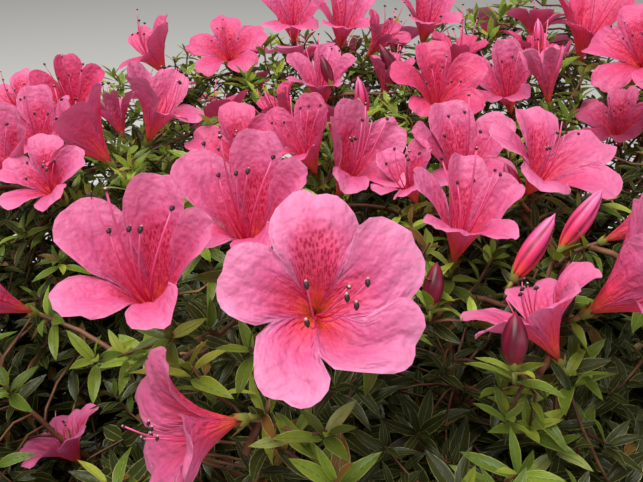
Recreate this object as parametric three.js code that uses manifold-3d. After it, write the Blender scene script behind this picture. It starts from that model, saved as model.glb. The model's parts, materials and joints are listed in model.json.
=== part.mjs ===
// A low garden azalea in full flower, rooted in the ground.
// Sizes are millimetres. The foot of the stem is the origin, the ground is z = 0, up is +Z and the front faces -Y.
// A short stem forks low down into arching boughs. Each bough carries one mass of twigs, leaves and blossoms, which
// branches by a seeded rule from the stem at its foot and keeps clear of every other mass and bough.
import * as THREE from "three";
import { mergeVertices } from "three/addons/utils/BufferGeometryUtils.js";
import Module from "manifold-3d";

const wasm = await Module();
wasm.setup();

const CROWN_HALF_WIDTH = 400; // along X
const CROWN_HALF_DEPTH = 320; // along Y
const CROWN_WAIST = 115; // height of the widest level
const CROWN_RISE = 272; // from the waist to the top
const CROWN_DROP = 85; // from the waist down to the skirt
const CROWN_SQUARENESS = 2.8; // 2 is an ellipsoid, more is flatter on top
const SKIRT = 0.62; // how far below the waist shoots still grow, as a share of the drop
const TOP_HEAVINESS = 1.22; // above 1, more shoots grow on top than on the flanks

const STEM_HEIGHT = 82;
const STEM_FOOT_RADIUS = 27;
const STEM_NECK_RADIUS = 19;
const STEM_HEAD_RADIUS = 25;
const STEM_LEAN = new THREE.Vector2(5, -3);
const STEM_SIDES = 15;
const FLARE_RIDGES = 5;

const BOUGH_SIDES = 6;
const BOUGH_STEPS = 4;
const JOINT_GAP = 0.3; // between a bough and the stem, and a mass and its bough
const CLEARANCE = 0.5; // between a mass and any other mass or bough

const SHOOT_COUNT = 196;
const SHOOT_SPACING = 47;
const BLOSSOM_SPACING = 50;
const BLOSSOM_SHARE = 0.66; // of the shoots away from the front bed
const BLOSSOM_RADIUS = 30;
const LOBES = 5;
const BLOSSOM_DEPTH = 27; // from the foot of its tube to its rim
const BUD_LENGTH = 24;
const BUD_WIDTH = 8;
const LEAVES = { leaves: 3, bud: 1, blossom: 1 }; // leaves near the end of a shoot of each kind
const LEAF_TRIES = 4; // how many ways round its twig a leaf is tried before it is left out
const LEAF_LENGTH = 40; // each stands for a small spray, so it is larger than life
const LEAF_WIDTH = 14;
const LEAF_THICKNESS = 2;
const LEAF_BELLY = 0.4; // where a leaf is widest, as a share of its length from its root
const LEAF_ROOT = 1; // how far past the middle of its twig a leaf is rooted
const TWIG_RADIUS = 1.7;
const MASS_STEM_RADIUS = 2.9;
const TWIG_SIDES = 3;
const FORK_SPACING = 3; // between two twigs that leave the same stretch of another
const LONG_TWIG = 85; // longer than this, a twig is bent in three steps, not two
const TIDY_TOLERANCES = [0.12, 0.13, 0.11, 0.1, 0.14, 0.09, 0.08]; // edges shorter than this, left by fusing, are closed up
const SAME_PLACE = [1e-3, 1e-4]; // a stored solid may have its vertices merged within either distance
const SEED = 1207;
const GOLDEN_ANGLE = Math.PI * (3 - Math.sqrt(5));

// Masses by ring: how many, how far out in plan, where their boughs leave the stem and where those end.
const RINGS = [
  { name: "top", count: 1, out: 0, tipOut: 0.02, tipHeight: 190, stemHeight: 82, boughRadius: 7.0, rise: 1.5 },
  { name: "mid", count: 5, out: 0.47, tipOut: 0.27, tipHeight: 178, stemHeight: 70, boughRadius: 6.4, rise: 1.15 },
  { name: "rim", count: 10, out: 0.86, tipOut: 0.6, tipHeight: 132, stemHeight: 46, boughRadius: 5.4, rise: 0.45 },
];
const BOUGH_TIP_RADIUS = 3.3;

// The blossoms that stand in the front bed, placed one by one: the middle of the open face, where it faces as
// azimuth from +X and elevation in degrees, and its size as a share of a full blossom.
const FRONT_BLOSSOMS = [
  [-1, -220, 387, -88, 43, 1.06],
  [-58, -185, 377, -109, 72, 1.1],
  [-28, -150, 381, -115, 73, 1.06],
  [-46, -226, 342, -150, 8, 0.93],
  [-134, -99, 229, 168, 63, 0.8],
  [-50, 1, 348, -127, 54, 1.0],
  [-92, 28, 364, 14, 68, 1.0],
  [-131, 67, 347, 132, 62, 0.8],
  [-167, 102, 345, -72, 70, 1.0],
  [-219, 125, 340, -128, 61, 0.92],
  [-177, 54, 339, -108, 70, 1.0],
  [-132, 1, 356, 170, 50, 0.95],
  [-176, -1, 342, -132, 62, 1.0],
  [-147, -29, 343, -113, 58, 0.9],
  [-142, -128, 331, -153, 37, 0.9],
  [-127, 167, 361, -176, 64, 0.95],
  [-68, 147, 370, -101, 58, 1.0],
  [-21, 186, 382, -90, 77, 1.0],
  [16, 169, 382, -64, 76, 1.0],
  [44, 141, 377, -18, 56, 0.85],
  [76, 160, 387, -64, 76, 1.0],
  [68, 30, 374, -85, 58, 1.06],
  [71, -37, 359, -90, 77, 1.02],
  [111, 57, 367, -138, 65, 0.95],
  [126, 30, 385, 124, 74, 0.9],
  [170, 98, 395, -33, 83, 1.05],
  [169, 18, 400, -140, 48, 1.0],
  [178, 49, 347, -145, 62, 0.9],
  [18, -38, 356, -33, 64, 1.06],
  [-10, -20, 359, -152, 69, 0.9],
  [-28, 54, 350, -173, 50, 0.9],
  [0, 97, 358, -90, 89, 0.95],
  [62, -103, 357, -29, 82, 1.0],
  [41, -53, 353, -162, 67, 0.7],
  [107, -71, 371, -44, 63, 1.08],
  [78, -156, 345, 142, 54, 0.95],
  [120, -157, 356, -13, 43, 1.0],
  [137, -110, 356, -6, 32, 0.75],
];
// Lone buds of the front bed: the foot, the tip and the width.
const FRONT_BUDS = [
  [79, -130, 341, 95, -119, 364, 9],
  [104, -107, 341, 121, -96, 365, 9],
  [44, -140, 334, 46, -132, 349, 8],
  [67, -184, 338, 67, -176, 354, 9],
  [100, -126, 332, 103, -122, 344, 6],
  [50, 82, 360, 36, 88, 382, 9],
  [6, 84, 358, 0, 92, 374, 7],
  [92, -68, 351, 86, -62, 363, 7],
  [139, 92, 378, 137, 98, 396, 7],
];
// The front bed in plan: shoots of the rule that grow inside it bear leaves only.
const FRONT_BED = { x: -5, y: -20, halfWidth: 232, halfDepth: 250, sink: 16 };
// Dips in the crown's surface, and its rise at the back: where they are in plan, how wide and how deep.
const DIPS = [
  { x: -150, y: -165, radius: 95, depth: 95 },
  { x: 20, y: -235, radius: 60, depth: 45 },
  { x: -60, y: 90, radius: 45, depth: 22 },
  { x: 175, y: 205, radius: 140, depth: -72 },
];

/** Repeatable random numbers from 0 to 1. */
function seededRandom(seed) {
  let state = seed | 0;
  return () => {
    state = (state + 0x6d2b79f5) | 0;
    let mixed = Math.imul(state ^ (state >>> 15), 1 | state);
    mixed = (mixed + Math.imul(mixed ^ (mixed >>> 7), 61 | mixed)) ^ mixed;
    return ((mixed ^ (mixed >>> 14)) >>> 0) / 4294967296;
  };
}

/** The direction with this azimuth from +X and this elevation, in radians. */
function heading(azimuth, elevation) {
  const level = Math.cos(elevation);
  return new THREE.Vector3(level * Math.cos(azimuth), level * Math.sin(azimuth), Math.sin(elevation));
}

/** The solid of a closed three.js geometry. */
function solidOf(geometry) {
  const bare = geometry.clone();
  bare.deleteAttribute("normal");
  bare.deleteAttribute("uv");
  const merged = mergeVertices(bare, 1e-3);
  const triVerts = new Uint32Array(merged.index.array);
  const vertProperties = merged.attributes.position.array;
  return new wasm.Manifold(new wasm.Mesh({ numProp: 3, vertProperties, triVerts }));
}

/** A three.js geometry with the solid's vertices and faces. */
function geometryOf(solid) {
  const mesh = solid.getMesh();
  return new THREE.BufferGeometry()
    .setAttribute("position", new THREE.BufferAttribute(mesh.vertProperties, 3))
    .setIndex(new THREE.BufferAttribute(mesh.triVerts, 1))
    .toNonIndexed();
}

/** The largest body of a solid, with any hollow that fusing sealed filled and loose scraps dropped. */
function largestBody(solid) {
  return solid.decompose().reduce((best, body) => (body.volume() > best.volume() ? body : best));
}

/** Whether every edge of a solid still joins exactly two faces once vertices nearer than this are one. */
function staysClosed(solid, samePlace) {
  const index = mergeVertices(geometryOf(solid), samePlace).index;
  const uses = new Map();
  for (let i = 0; i < index.count; i += 3) {
    const corners = [index.getX(i), index.getX(i + 1), index.getX(i + 2)];
    if (new Set(corners).size < 3) continue;
    corners.forEach((corner, k) => {
      const next = corners[(k + 1) % 3];
      const edge = `${Math.min(corner, next)} ${Math.max(corner, next)}`;
      uses.set(edge, (uses.get(edge) ?? 0) + 1);
    });
  }
  return [...uses.values()].every((count) => count === 2);
}

/** Joins solids into one body and closes up the shortest edges that this leaves. */
function fuse(solids) {
  const joined = largestBody(wasm.Manifold.union(solids)).asOriginal();
  for (const tolerance of TIDY_TOLERANCES) {
    const tidied = largestBody(joined.simplify(tolerance));
    if (SAME_PLACE.every((samePlace) => staysClosed(tidied, samePlace))) return tidied;
  }
  return joined;
}

/** The closed solid through a row of rings. Rings may differ in their number of points, and the last may be one point. */
function loft(rings) {
  const starts = [];
  let count = 0;
  for (const ring of rings) {
    starts.push(count);
    count += ring.length;
  }
  const triangles = [];
  for (let r = 0; r + 1 < rings.length; r++) {
    const [n, m] = [rings[r].length, rings[r + 1].length];
    let [i, j] = [0, 0];
    while (i < n || j < (m > 1 ? m : 0)) {
      const a = starts[r] + (i % n);
      const b = starts[r + 1] + (j % m);
      const here = i < n && (m === 1 || (i + 1) / n <= (j + 1) / m || j === m);
      triangles.push(a, here ? starts[r] + ((i + 1) % n) : starts[r + 1] + ((j + 1) % m), b);
      if (here) i++;
      else j++;
    }
  }
  const last = starts.length - 1;
  for (let i = 1; i + 1 < rings[0].length; i++) triangles.push(0, i + 1, i);
  for (let i = 1; i + 1 < rings[last].length; i++) triangles.push(starts[last], starts[last] + i, starts[last] + i + 1);
  const vertProperties = new Float32Array(rings.flat().flatMap((point) => point.toArray()));
  return new wasm.Manifold(new wasm.Mesh({ numProp: 3, vertProperties, triVerts: new Uint32Array(triangles) }));
}

/** A ring of points round a place, in the plane of two directions; radiusAt gives the radius of each point. */
function ringOf(place, across, up, count, radiusAt) {
  return Array.from({ length: count }, (_, i) => {
    const angle = (2 * Math.PI * i) / count;
    return place
      .clone()
      .addScaledVector(across, radiusAt(i) * Math.cos(angle))
      .addScaledVector(up, radiusAt(i) * Math.sin(angle));
  });
}

/** The rings of a limb along a curve: radiusAt gives its radius for each share of the length. */
function limbRings(curve, radiusAt, sides, steps) {
  const frames = curve.computeFrenetFrames(steps, false);
  return Array.from({ length: steps + 1 }, (_, step) => {
    const share = step / steps;
    return ringOf(curve.getPointAt(share), frames.normals[step], frames.binormals[step], sides, () => radiusAt(share));
  });
}

/** The short stem, grown by a margin: flared and ridged at its foot, leaning, swollen where the boughs leave it. */
function stemSolid(margin) {
  const geometry = new THREE.CylinderGeometry(1, 1, 1, STEM_SIDES, 5);
  geometry.rotateX(Math.PI / 2);
  const position = geometry.attributes.position;
  for (let i = 0; i < position.count; i++) {
    const share = position.getZ(i) + 0.5;
    const angle = Math.atan2(position.getY(i), position.getX(i));
    const across = Math.hypot(position.getX(i), position.getY(i));
    const flare = Math.exp(-share * 7);
    const ridges = 1 + 0.22 * flare * Math.cos(FLARE_RIDGES * angle + 0.6);
    const head = (STEM_HEAD_RADIUS - STEM_NECK_RADIUS) * Math.pow(share, 1.6);
    const shoulder = share > 0.95 ? 0.72 : 1;
    const radius = (STEM_NECK_RADIUS + head + (STEM_FOOT_RADIUS - STEM_NECK_RADIUS) * flare) * ridges * shoulder;
    const lean = Math.pow(share, 1.3);
    position.setXYZ(
      i,
      across * Math.cos(angle) * (radius + margin) + STEM_LEAN.x * lean,
      across * Math.sin(angle) * (radius + margin) + STEM_LEAN.y * lean,
      share * (STEM_HEIGHT + margin),
    );
  }
  return solidOf(geometry);
}

/** The masses: their place in plan, and the curve of the bough that carries each. */
function planMasses(random) {
  const masses = [];
  for (const ring of RINGS) {
    for (let i = 0; i < ring.count; i++) {
      const turn = ring.count > 1 ? random() - 0.5 : 0;
      const azimuth = -Math.PI / 2 + (2 * Math.PI * (i + 0.5 + 0.12 * turn)) / ring.count;
      const uneven = ring.count > 5 ? (i % 2) - 0.5 : random() - 0.5;
      const onPlan = (out) =>
        new THREE.Vector3(CROWN_HALF_WIDTH * out * Math.cos(azimuth), CROWN_HALF_DEPTH * out * Math.sin(azimuth), 0);
      const tip = onPlan(ring.tipOut).setZ(ring.tipHeight + 26 * uneven);
      const lean = Math.pow(ring.stemHeight / STEM_HEIGHT, 1.3);
      const bearing = Math.atan2(tip.y, tip.x);
      const start = new THREE.Vector3(
        STEM_LEAN.x * lean + (ring.count > 1 ? 9 * Math.cos(bearing) : 0),
        STEM_LEAN.y * lean + (ring.count > 1 ? 9 * Math.sin(bearing) : 0),
        ring.stemHeight - 10 + (ring.count > 5 ? 16 * uneven : 0),
      );
      const reach = tip.distanceTo(start);
      const away = heading(bearing, Math.atan(ring.rise));
      const elbow = start.clone().addScaledVector(away, reach * 0.4);
      const arrive = tip.clone().addScaledVector(heading(bearing, 0.75), -reach * 0.28);
      masses.push({
        name: ring.count > 1 ? `${ring.name}_${i + 1}` : ring.name,
        centre: onPlan(ring.out),
        bough: new THREE.CubicBezierCurve3(start, elbow, arrive, tip),
        boughRadius: ring.boughRadius,
        shoots: [],
        pieces: [],
      });
    }
  }
  return masses;
}

/** How far the crown's surface dips below its dome at a place in plan. */
function dipAt(x, y) {
  return DIPS.reduce((sum, dip) => {
    const away = Math.hypot(x - dip.x, y - dip.y) / dip.radius;
    return sum + dip.depth * Math.exp(-away * away);
  }, 0);
}

/** The dome's point and outward direction, by azimuth and by height as on a unit sphere. */
function domeAt(azimuth, height) {
  const level = Math.sqrt(Math.max(0, 1 - height * height));
  const rise = height > 0 ? CROWN_RISE : CROWN_DROP;
  const stretch = Math.pow(
    Math.pow(level, CROWN_SQUARENESS) + Math.pow(Math.abs(height), CROWN_SQUARENESS),
    -1 / CROWN_SQUARENESS,
  );
  const point = new THREE.Vector3(
    CROWN_HALF_WIDTH * level * Math.cos(azimuth) * stretch,
    CROWN_HALF_DEPTH * level * Math.sin(azimuth) * stretch,
    rise * height * stretch,
  );
  const outward = new THREE.Vector3(
    point.x / CROWN_HALF_WIDTH ** 2,
    point.y / CROWN_HALF_DEPTH ** 2,
    point.z / rise ** 2,
  ).normalize();
  point.z += CROWN_WAIST;
  return { point, outward };
}

/** Every shoot of the crown: where its end bears a blossom, a bud or leaves, and which way it faces. */
function planShoots(random) {
  const shoots = FRONT_BLOSSOMS.map(([x, y, z, azimuth, elevation, size]) => ({
    kind: "blossom",
    face: new THREE.Vector3(x, y, z),
    axis: heading((azimuth * Math.PI) / 180, (elevation * Math.PI) / 180),
    size,
  }));
  for (const [x, y, z, tipX, tipY, tipZ, width] of FRONT_BUDS) {
    const foot = new THREE.Vector3(x, y, z);
    const face = new THREE.Vector3(tipX, tipY, tipZ);
    const axis = face.clone().sub(foot);
    shoots.push({ kind: "bud", face, axis: axis.clone().normalize(), size: axis.length() / BUD_LENGTH, width });
  }
  for (let i = 0; i < SHOOT_COUNT; i++) {
    const share = (i + 0.5) / SHOOT_COUNT;
    const height = 1 - (1 + SKIRT) * Math.pow(share, TOP_HEAVINESS);
    const { point, outward } = domeAt(i * GOLDEN_ANGLE + 0.5 * random(), height);
    const [reach, tilt, tiltTo, kindDraw, sizeDraw] = [random(), random(), random(), random(), random()];
    point.x *= 0.93 + 0.07 * reach;
    point.y *= 0.93 + 0.07 * reach;
    point.z += 14 * (reach - 0.5) - dipAt(point.x, point.y);
    const inBed =
      height > 0 &&
      Math.hypot((point.x - FRONT_BED.x) / FRONT_BED.halfWidth, (point.y - FRONT_BED.y) / FRONT_BED.halfDepth) < 1;
    if (inBed) point.z -= FRONT_BED.sink;
    const axis = outward
      .addScaledVector(new THREE.Vector3(0, 0, 1), 0.45)
      .addScaledVector(heading(2 * Math.PI * tiltTo, 0.2), 0.6 * tilt)
      .normalize();
    const nearBlossom = shoots.some((s) => s.kind === "blossom" && s.face.distanceTo(point) < BLOSSOM_SPACING);
    if (shoots.some((s) => s.face.distanceTo(point) < SHOOT_SPACING * (inBed ? 0.8 : 1))) continue;
    const flowers = !inBed && !nearBlossom && kindDraw < BLOSSOM_SHARE;
    const buds = !flowers && kindDraw > 0.82;
    shoots.push({
      kind: flowers ? "blossom" : buds ? "bud" : "leaves",
      face: point,
      axis,
      size: 0.84 + 0.2 * sizeDraw,
      width: BUD_WIDTH,
    });
  }
  for (const shoot of shoots) {
    const length = shoot.kind === "blossom" ? BLOSSOM_DEPTH : shoot.kind === "bud" ? BUD_LENGTH : LEAF_LENGTH * 0.5;
    shoot.tip = shoot.face.clone().addScaledVector(shoot.axis, -length * shoot.size);
  }
  return shoots;
}

/** Gives each shoot to the mass whose middle is nearest in plan. */
function shareOut(shoots, masses) {
  for (const shoot of shoots) {
    const away = (mass) =>
      Math.hypot(
        (mass.centre.x - shoot.tip.x) / CROWN_HALF_WIDTH,
        (mass.centre.y - shoot.tip.y) / CROWN_HALF_DEPTH,
      );
    masses.reduce((best, mass) => (away(mass) < away(best) ? mass : best)).shoots.push(shoot);
  }
}

/** The twigs of a mass: each shoot grows from the nearest and straightest place on what has grown before. */
function growTwigs(mass) {
  const end = mass.bough.getPoint(1);
  const onward = mass.bough.getTangent(1);
  const foot = end.clone().addScaledVector(onward, JOINT_GAP);
  const hub = foot.clone().addScaledVector(onward, 26);
  const stem = new THREE.LineCurve3(foot, hub);
  const places = [
    { at: foot.clone().lerp(hub, 0.85), along: onward, path: 0 },
    { at: foot.clone().lerp(hub, 0.55), along: onward, path: 8 },
  ];
  const twigs = [];
  for (const shoot of [...mass.shoots].sort((a, b) => a.tip.distanceTo(hub) - b.tip.distanceTo(hub))) {
    const cost = (place) => {
      const way = shoot.tip.clone().sub(place.at);
      const length = way.length();
      return length * (1.35 - 0.35 * way.normalize().dot(place.along)) + 0.3 * place.path;
    };
    const from = places.reduce((best, place) => (cost(place) < cost(best) ? place : best));
    const span = from.at.distanceTo(shoot.tip);
    const start = from.at.clone();
    from.at.addScaledVector(from.along, -FORK_SPACING);
    const leave = shoot.tip.clone().sub(start).normalize().add(from.along).normalize();
    const curve = new THREE.CubicBezierCurve3(
      start,
      start.clone().addScaledVector(leave, span * 0.3),
      shoot.tip.clone().addScaledVector(shoot.axis, -span * 0.38),
      shoot.tip,
    );
    const steps = span > LONG_TWIG ? 3 : 2;
    for (let step = 0; step < steps; step++) {
      const [low, high] = [curve.getPointAt(step / steps), curve.getPointAt((step + 1) / steps)];
      const at = low.clone().lerp(high, 0.55);
      places.push({ at, along: high.sub(low).normalize(), path: from.path + (span * (step + 0.55)) / steps });
    }
    twigs.push({ shoot, curve, steps });
  }
  return { stem, twigs };
}

/** The rings that end a shoot: an open blossom with five lobes, a pointed bud, or nothing. */
function endRings({ kind, tip, axis, size, width }, sides) {
  const across = new THREE.Vector3(-axis.y, axis.x, 0).normalize();
  const up = axis.clone().cross(across);
  const along = (distance) => tip.clone().addScaledVector(axis, distance * size);
  if (kind === "bud") return [ringOf(along(BUD_LENGTH * 0.55), across, up, sides + 1, () => width / 2), [along(BUD_LENGTH)]];
  if (kind === "leaves") return [];
  const rim = ringOf(along(BLOSSOM_DEPTH), across, up, 2 * LOBES, (i) => BLOSSOM_RADIUS * size * (i % 2 ? 0.76 : 1.04));
  rim.forEach((point, i) => point.addScaledVector(axis, i % 2 ? -BLOSSOM_DEPTH * 0.12 : 0));
  return [rim, [along(BLOSSOM_DEPTH * 0.5)]];
}

/** A slim closed leaf with its root at the origin, pointing along +Z, widest nearer to its root. */
function leafGeometry(length) {
  const geometry = new THREE.OctahedronGeometry(1).scale(LEAF_WIDTH / 2, LEAF_THICKNESS / 2, 1);
  const position = geometry.attributes.position;
  for (let i = 0; i < position.count; i++) {
    const end = position.getZ(i);
    position.setZ(i, length * (Math.abs(end) < 0.5 ? LEAF_BELLY : (end + 1) / 2));
  }
  return geometry;
}

/** One leaf of the loose whorl near the end of a twig: it leans outwards, and its root is sunk in the twig. */
function leafOn({ shoot, curve, steps }, i, spin, random) {
  const back = curve.getPointAt(1 - 1 / steps).sub(shoot.tip).normalize();
  const toTwig = new THREE.Quaternion().setFromUnitVectors(new THREE.Vector3(0, 0, -1), back);
  const lean = 0.95 + 0.3 * random();
  const length = LEAF_LENGTH * (0.85 + 0.25 * random());
  const leaf = leafGeometry(length)
    .translate(0, 0, -LEAF_ROOT)
    .rotateX(lean)
    .rotateZ(spin)
    .translate(0, 0, -3 - 4 * i)
    .applyQuaternion(toTwig)
    .translate(shoot.tip.x, shoot.tip.y, shoot.tip.z);
  return solidOf(leaf);
}

/** Whether a piece stays clear of all the pieces of a list, by a margin. */
function isClear(piece, others, margin) {
  const box = piece.boundingBox();
  return others.every(({ solid, bounds }) => {
    for (let axis = 0; axis < 3; axis++) {
      if (box.min[axis] - margin > bounds.max[axis] || box.max[axis] + margin < bounds.min[axis]) return true;
    }
    return piece.minGap(solid, margin + 1) > margin;
  });
}

const random = seededRandom(SEED);
const masses = planMasses(random);
shareOut(planShoots(random), masses);

const stemGrown = stemSolid(JOINT_GAP);
const limbs = [{ name: "stem", solid: stemSolid(0) }];
for (const mass of masses) {
  const radiusAt = (share) => mass.boughRadius + (BOUGH_TIP_RADIUS - mass.boughRadius) * share;
  const whole = loft(limbRings(mass.bough, radiusAt, BOUGH_SIDES, BOUGH_STEPS));
  limbs.push({ name: `bough_${mass.name}`, solid: largestBody(whole.subtract(stemGrown)) });
}
for (const piece of limbs) piece.bounds = piece.solid.boundingBox();

/** Adds a piece to a mass if it keeps clear of every bough, every other mass and the given pieces of its own. */
function place(mass, solid, own = []) {
  const rivals = masses.filter((other) => other !== mass).flatMap((other) => other.pieces);
  if (!isClear(solid, limbs, JOINT_GAP * 0.8) || !isClear(solid, rivals, CLEARANCE)) return null;
  if (!isClear(solid, own, 0)) return null;
  const piece = { solid, bounds: solid.boundingBox() };
  mass.pieces.push(piece);
  return piece;
}

for (const mass of masses) {
  mass.growth = growTwigs(mass);
  place(mass, loft(limbRings(mass.growth.stem, (share) => MASS_STEM_RADIUS - 0.6 * share, 5, 1)));
}
for (const mass of masses) {
  for (const twig of mass.growth.twigs) {
    const radiusAt = (share) => TWIG_RADIUS * (1.2 - 0.2 * share);
    const rings = limbRings(twig.curve, radiusAt, TWIG_SIDES, twig.steps);
    twig.piece = place(mass, loft([...rings, ...endRings(twig.shoot, TWIG_SIDES)]));
  }
}
const leafRandom = seededRandom(SEED + 1);
for (const mass of masses) {
  for (const twig of mass.growth.twigs.filter(({ piece }) => piece)) {
    const first = 2 * Math.PI * leafRandom();
    for (let i = 0; i < LEAVES[twig.shoot.kind]; i++) {
      const others = mass.pieces.filter((piece) => piece !== twig.piece);
      let leaf = null;
      for (let turn = 0; turn < LEAF_TRIES && !leaf; turn++) {
        leaf = place(mass, leafOn(twig, i, first + i * GOLDEN_ANGLE + turn * 0.7, leafRandom), others);
      }
    }
  }
}

const bark = new THREE.MeshStandardMaterial({ color: 0x5f5046, roughness: 0.9, metalness: 0 });
const flowering = new THREE.MeshStandardMaterial({ color: 0xd9597f, roughness: 0.6, metalness: 0 });

/** A named node of the shrub. */
function nodeOf(name, solid, material) {
  const mesh = new THREE.Mesh(geometryOf(solid), material);
  mesh.name = name;
  return mesh;
}

const shrub = new THREE.Group();
for (const { name, solid } of limbs) shrub.add(nodeOf(name, solid, bark));
for (const mass of masses) {
  const fused = fuse(mass.pieces.map(({ solid }) => solid));
  shrub.add(nodeOf(`foliage_${mass.name}`, fused, flowering));
}

export default shrub;
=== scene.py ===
"""Looks of a low garden azalea in full flower, rooted in the ground.

The limbs and twigs follow the rule of the part's source, and finer twigs, leaves, blossoms and buds grow on
from them. Sizes are millimetres until a mesh is made. The front of the shrub faces -Y, and up is +Z.
"""

import json
import logging
import math
from collections.abc import Iterable, Sequence
from dataclasses import dataclass, field
from enum import Enum
from typing import ClassVar

import bmesh
import bpy
import numpy as np
from bpy.types import Material, Mesh, Node, NodeSocket, NodeTree, Object
from mathutils import Matrix, Vector, kdtree, noise

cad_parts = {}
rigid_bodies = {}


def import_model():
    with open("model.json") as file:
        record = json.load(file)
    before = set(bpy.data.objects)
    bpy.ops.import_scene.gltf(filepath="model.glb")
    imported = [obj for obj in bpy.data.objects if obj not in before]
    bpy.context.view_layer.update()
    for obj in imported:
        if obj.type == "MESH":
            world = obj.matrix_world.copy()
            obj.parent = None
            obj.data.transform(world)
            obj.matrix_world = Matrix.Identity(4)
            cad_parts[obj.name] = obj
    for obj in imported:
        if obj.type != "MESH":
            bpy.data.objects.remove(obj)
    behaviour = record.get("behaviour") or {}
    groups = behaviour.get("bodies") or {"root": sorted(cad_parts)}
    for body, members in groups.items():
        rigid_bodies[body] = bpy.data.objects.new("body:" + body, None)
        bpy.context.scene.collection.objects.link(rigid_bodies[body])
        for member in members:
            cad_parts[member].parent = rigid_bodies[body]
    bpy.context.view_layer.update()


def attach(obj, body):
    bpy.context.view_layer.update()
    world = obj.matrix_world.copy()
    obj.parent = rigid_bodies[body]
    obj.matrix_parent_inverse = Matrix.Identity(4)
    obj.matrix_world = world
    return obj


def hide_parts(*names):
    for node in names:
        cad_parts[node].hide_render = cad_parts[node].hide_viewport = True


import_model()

MM = 0.001
UP = Vector((0.0, 0.0, 1.0))
GOLDEN_ANGLE = math.pi * (3 - math.sqrt(5))
UV_NAME = "OFBake"
# Where the photograph was taken from.
EYE = Vector((0.0, -402.0, 502.0))
# Keeps a choice drawn as a share of its count below that count.
BELOW_ONE = 0.999

log = logging.getLogger("azalea")


class Growth(Enum):
    """What the end of a shoot bears."""

    BLOSSOM = "blossom"
    BUD = "bud"
    LEAVES = "leaves"


class LeafTint(Enum):
    """The colours a leaf may have, by the column of the leaf's UV square that each takes."""

    YOUNG = 0
    FRESH = 1
    FULL = 2
    # Near black: partly older leaves, partly painted shade for leaves deep in the crown, low down and far
    # from blossoms.
    OLD = 3
    BRONZE = 4
    PALE = 5


class Opening(Enum):
    """How far a blossom has opened."""

    WIDE = 0
    OPEN = 1
    FUNNEL = 2
    GAPING = 3


# Short names for the tables of blossoms.
WIDE, OPEN, FUNNEL, GAPING = Opening


class SeededRandom:
    """Repeatable random numbers from 0 to 1, the same row as the part's source draws."""

    MASK = 0xFFFFFFFF

    def __init__(self, seed: int) -> None:
        """Starts the row at a seed."""
        self.state = seed & self.MASK

    def draw(self) -> float:
        """Returns the next number of the row."""
        self.state = (self.state + 0x6D2B79F5) & self.MASK
        mixed = (self.state ^ (self.state >> 15)) * (1 | self.state) & self.MASK
        again = (mixed ^ (mixed >> 7)) * (61 | mixed) & self.MASK
        mixed = ((mixed + again) & self.MASK) ^ mixed
        return (mixed ^ (mixed >> 14)) / 4294967296

    def between(self, low: float, high: float) -> float:
        """Returns the next number, spread evenly from low to high."""
        return low + (high - low) * self.draw()

    def pick(self, choices: int) -> int:
        """Returns a whole number from 0 up to below the count of choices."""
        return int(self.draw() * choices * BELOW_ONE)


def heading(azimuth: float, elevation: float) -> Vector:
    """Gives the unit direction with an azimuth from +X and an elevation, both in radians."""
    level = math.cos(elevation)
    return Vector((level * math.cos(azimuth), level * math.sin(azimuth), math.sin(elevation)))


class Bezier:
    """A cubic Bezier curve with places by share of its length."""

    DIVISIONS = 200

    def __init__(self, *controls: Vector) -> None:
        """Measures the curve.

        Args:
            controls: its four control points.
        """
        t = np.linspace(0, 1, self.DIVISIONS + 1)[:, None]
        weights = [(1 - t) ** 3, 3 * t * (1 - t) ** 2, 3 * t**2 * (1 - t), t**3]
        self.samples = sum(w * np.array(p) for w, p in zip(weights, controls))
        steps = np.linalg.norm(np.diff(self.samples, axis=0), axis=1)
        self.lengths = np.concatenate([[0.0], np.cumsum(steps)])

    @property
    def length(self) -> float:
        """The curve's length."""
        return float(self.lengths[-1])

    def places(self, shares: Sequence[float]) -> np.ndarray:
        """Gives the points at some shares of the length, one row each."""
        at = np.asarray(shares) * self.length
        return np.stack([np.interp(at, self.lengths, self.samples[:, k]) for k in range(3)], axis=1)

    def place(self, share: float) -> Vector:
        """Gives the point at a share of the length."""
        return Vector(self.places([share])[0])

    def tangent_at_end(self) -> Vector:
        """Gives the direction in which the curve ends."""
        return Vector(self.samples[-1] - self.samples[-2]).normalized()


@dataclass
class Shoot:
    """The end of a twig: what it bears, where the middle of that faces, and its size."""

    growth: Growth
    face: Vector
    axis: Vector
    size: float
    width: float = 8.0
    opening: Opening = OPEN
    placed: bool = False
    ripe: bool = False
    tip: Vector = field(default_factory=Vector)


@dataclass
class Twig:
    """A twig of a mass and the shoot at its end."""

    shoot: Shoot
    curve: Bezier


@dataclass
class Mass:
    """A mass of foliage: its middle in plan, the bough that carries it, and what grows from it."""

    name: str
    centre: Vector
    bough: Bezier
    bough_radius: float
    shoots: list[Shoot] = field(default_factory=list)
    stem: Bezier | None = None
    twigs: list[Twig] = field(default_factory=list)


@dataclass(frozen=True)
class Ring:
    """A ring of masses: how many, how far out in plan, and where their boughs start and end."""

    name: str
    count: int
    out: float
    tip_out: float
    tip_height: float
    stem_height: float
    bough_radius: float
    rise: float

    @property
    def alone(self) -> bool:
        """Whether it is a single mass."""
        return self.count == 1

    @property
    def alternates(self) -> bool:
        """Whether it has so many boughs that they end high and low in turn."""
        return self.count > 5


@dataclass(frozen=True)
class Dip:
    """A hollow in the crown's surface, or a rise where its depth is below zero."""

    x: float
    y: float
    radius: float
    depth: float


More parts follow.
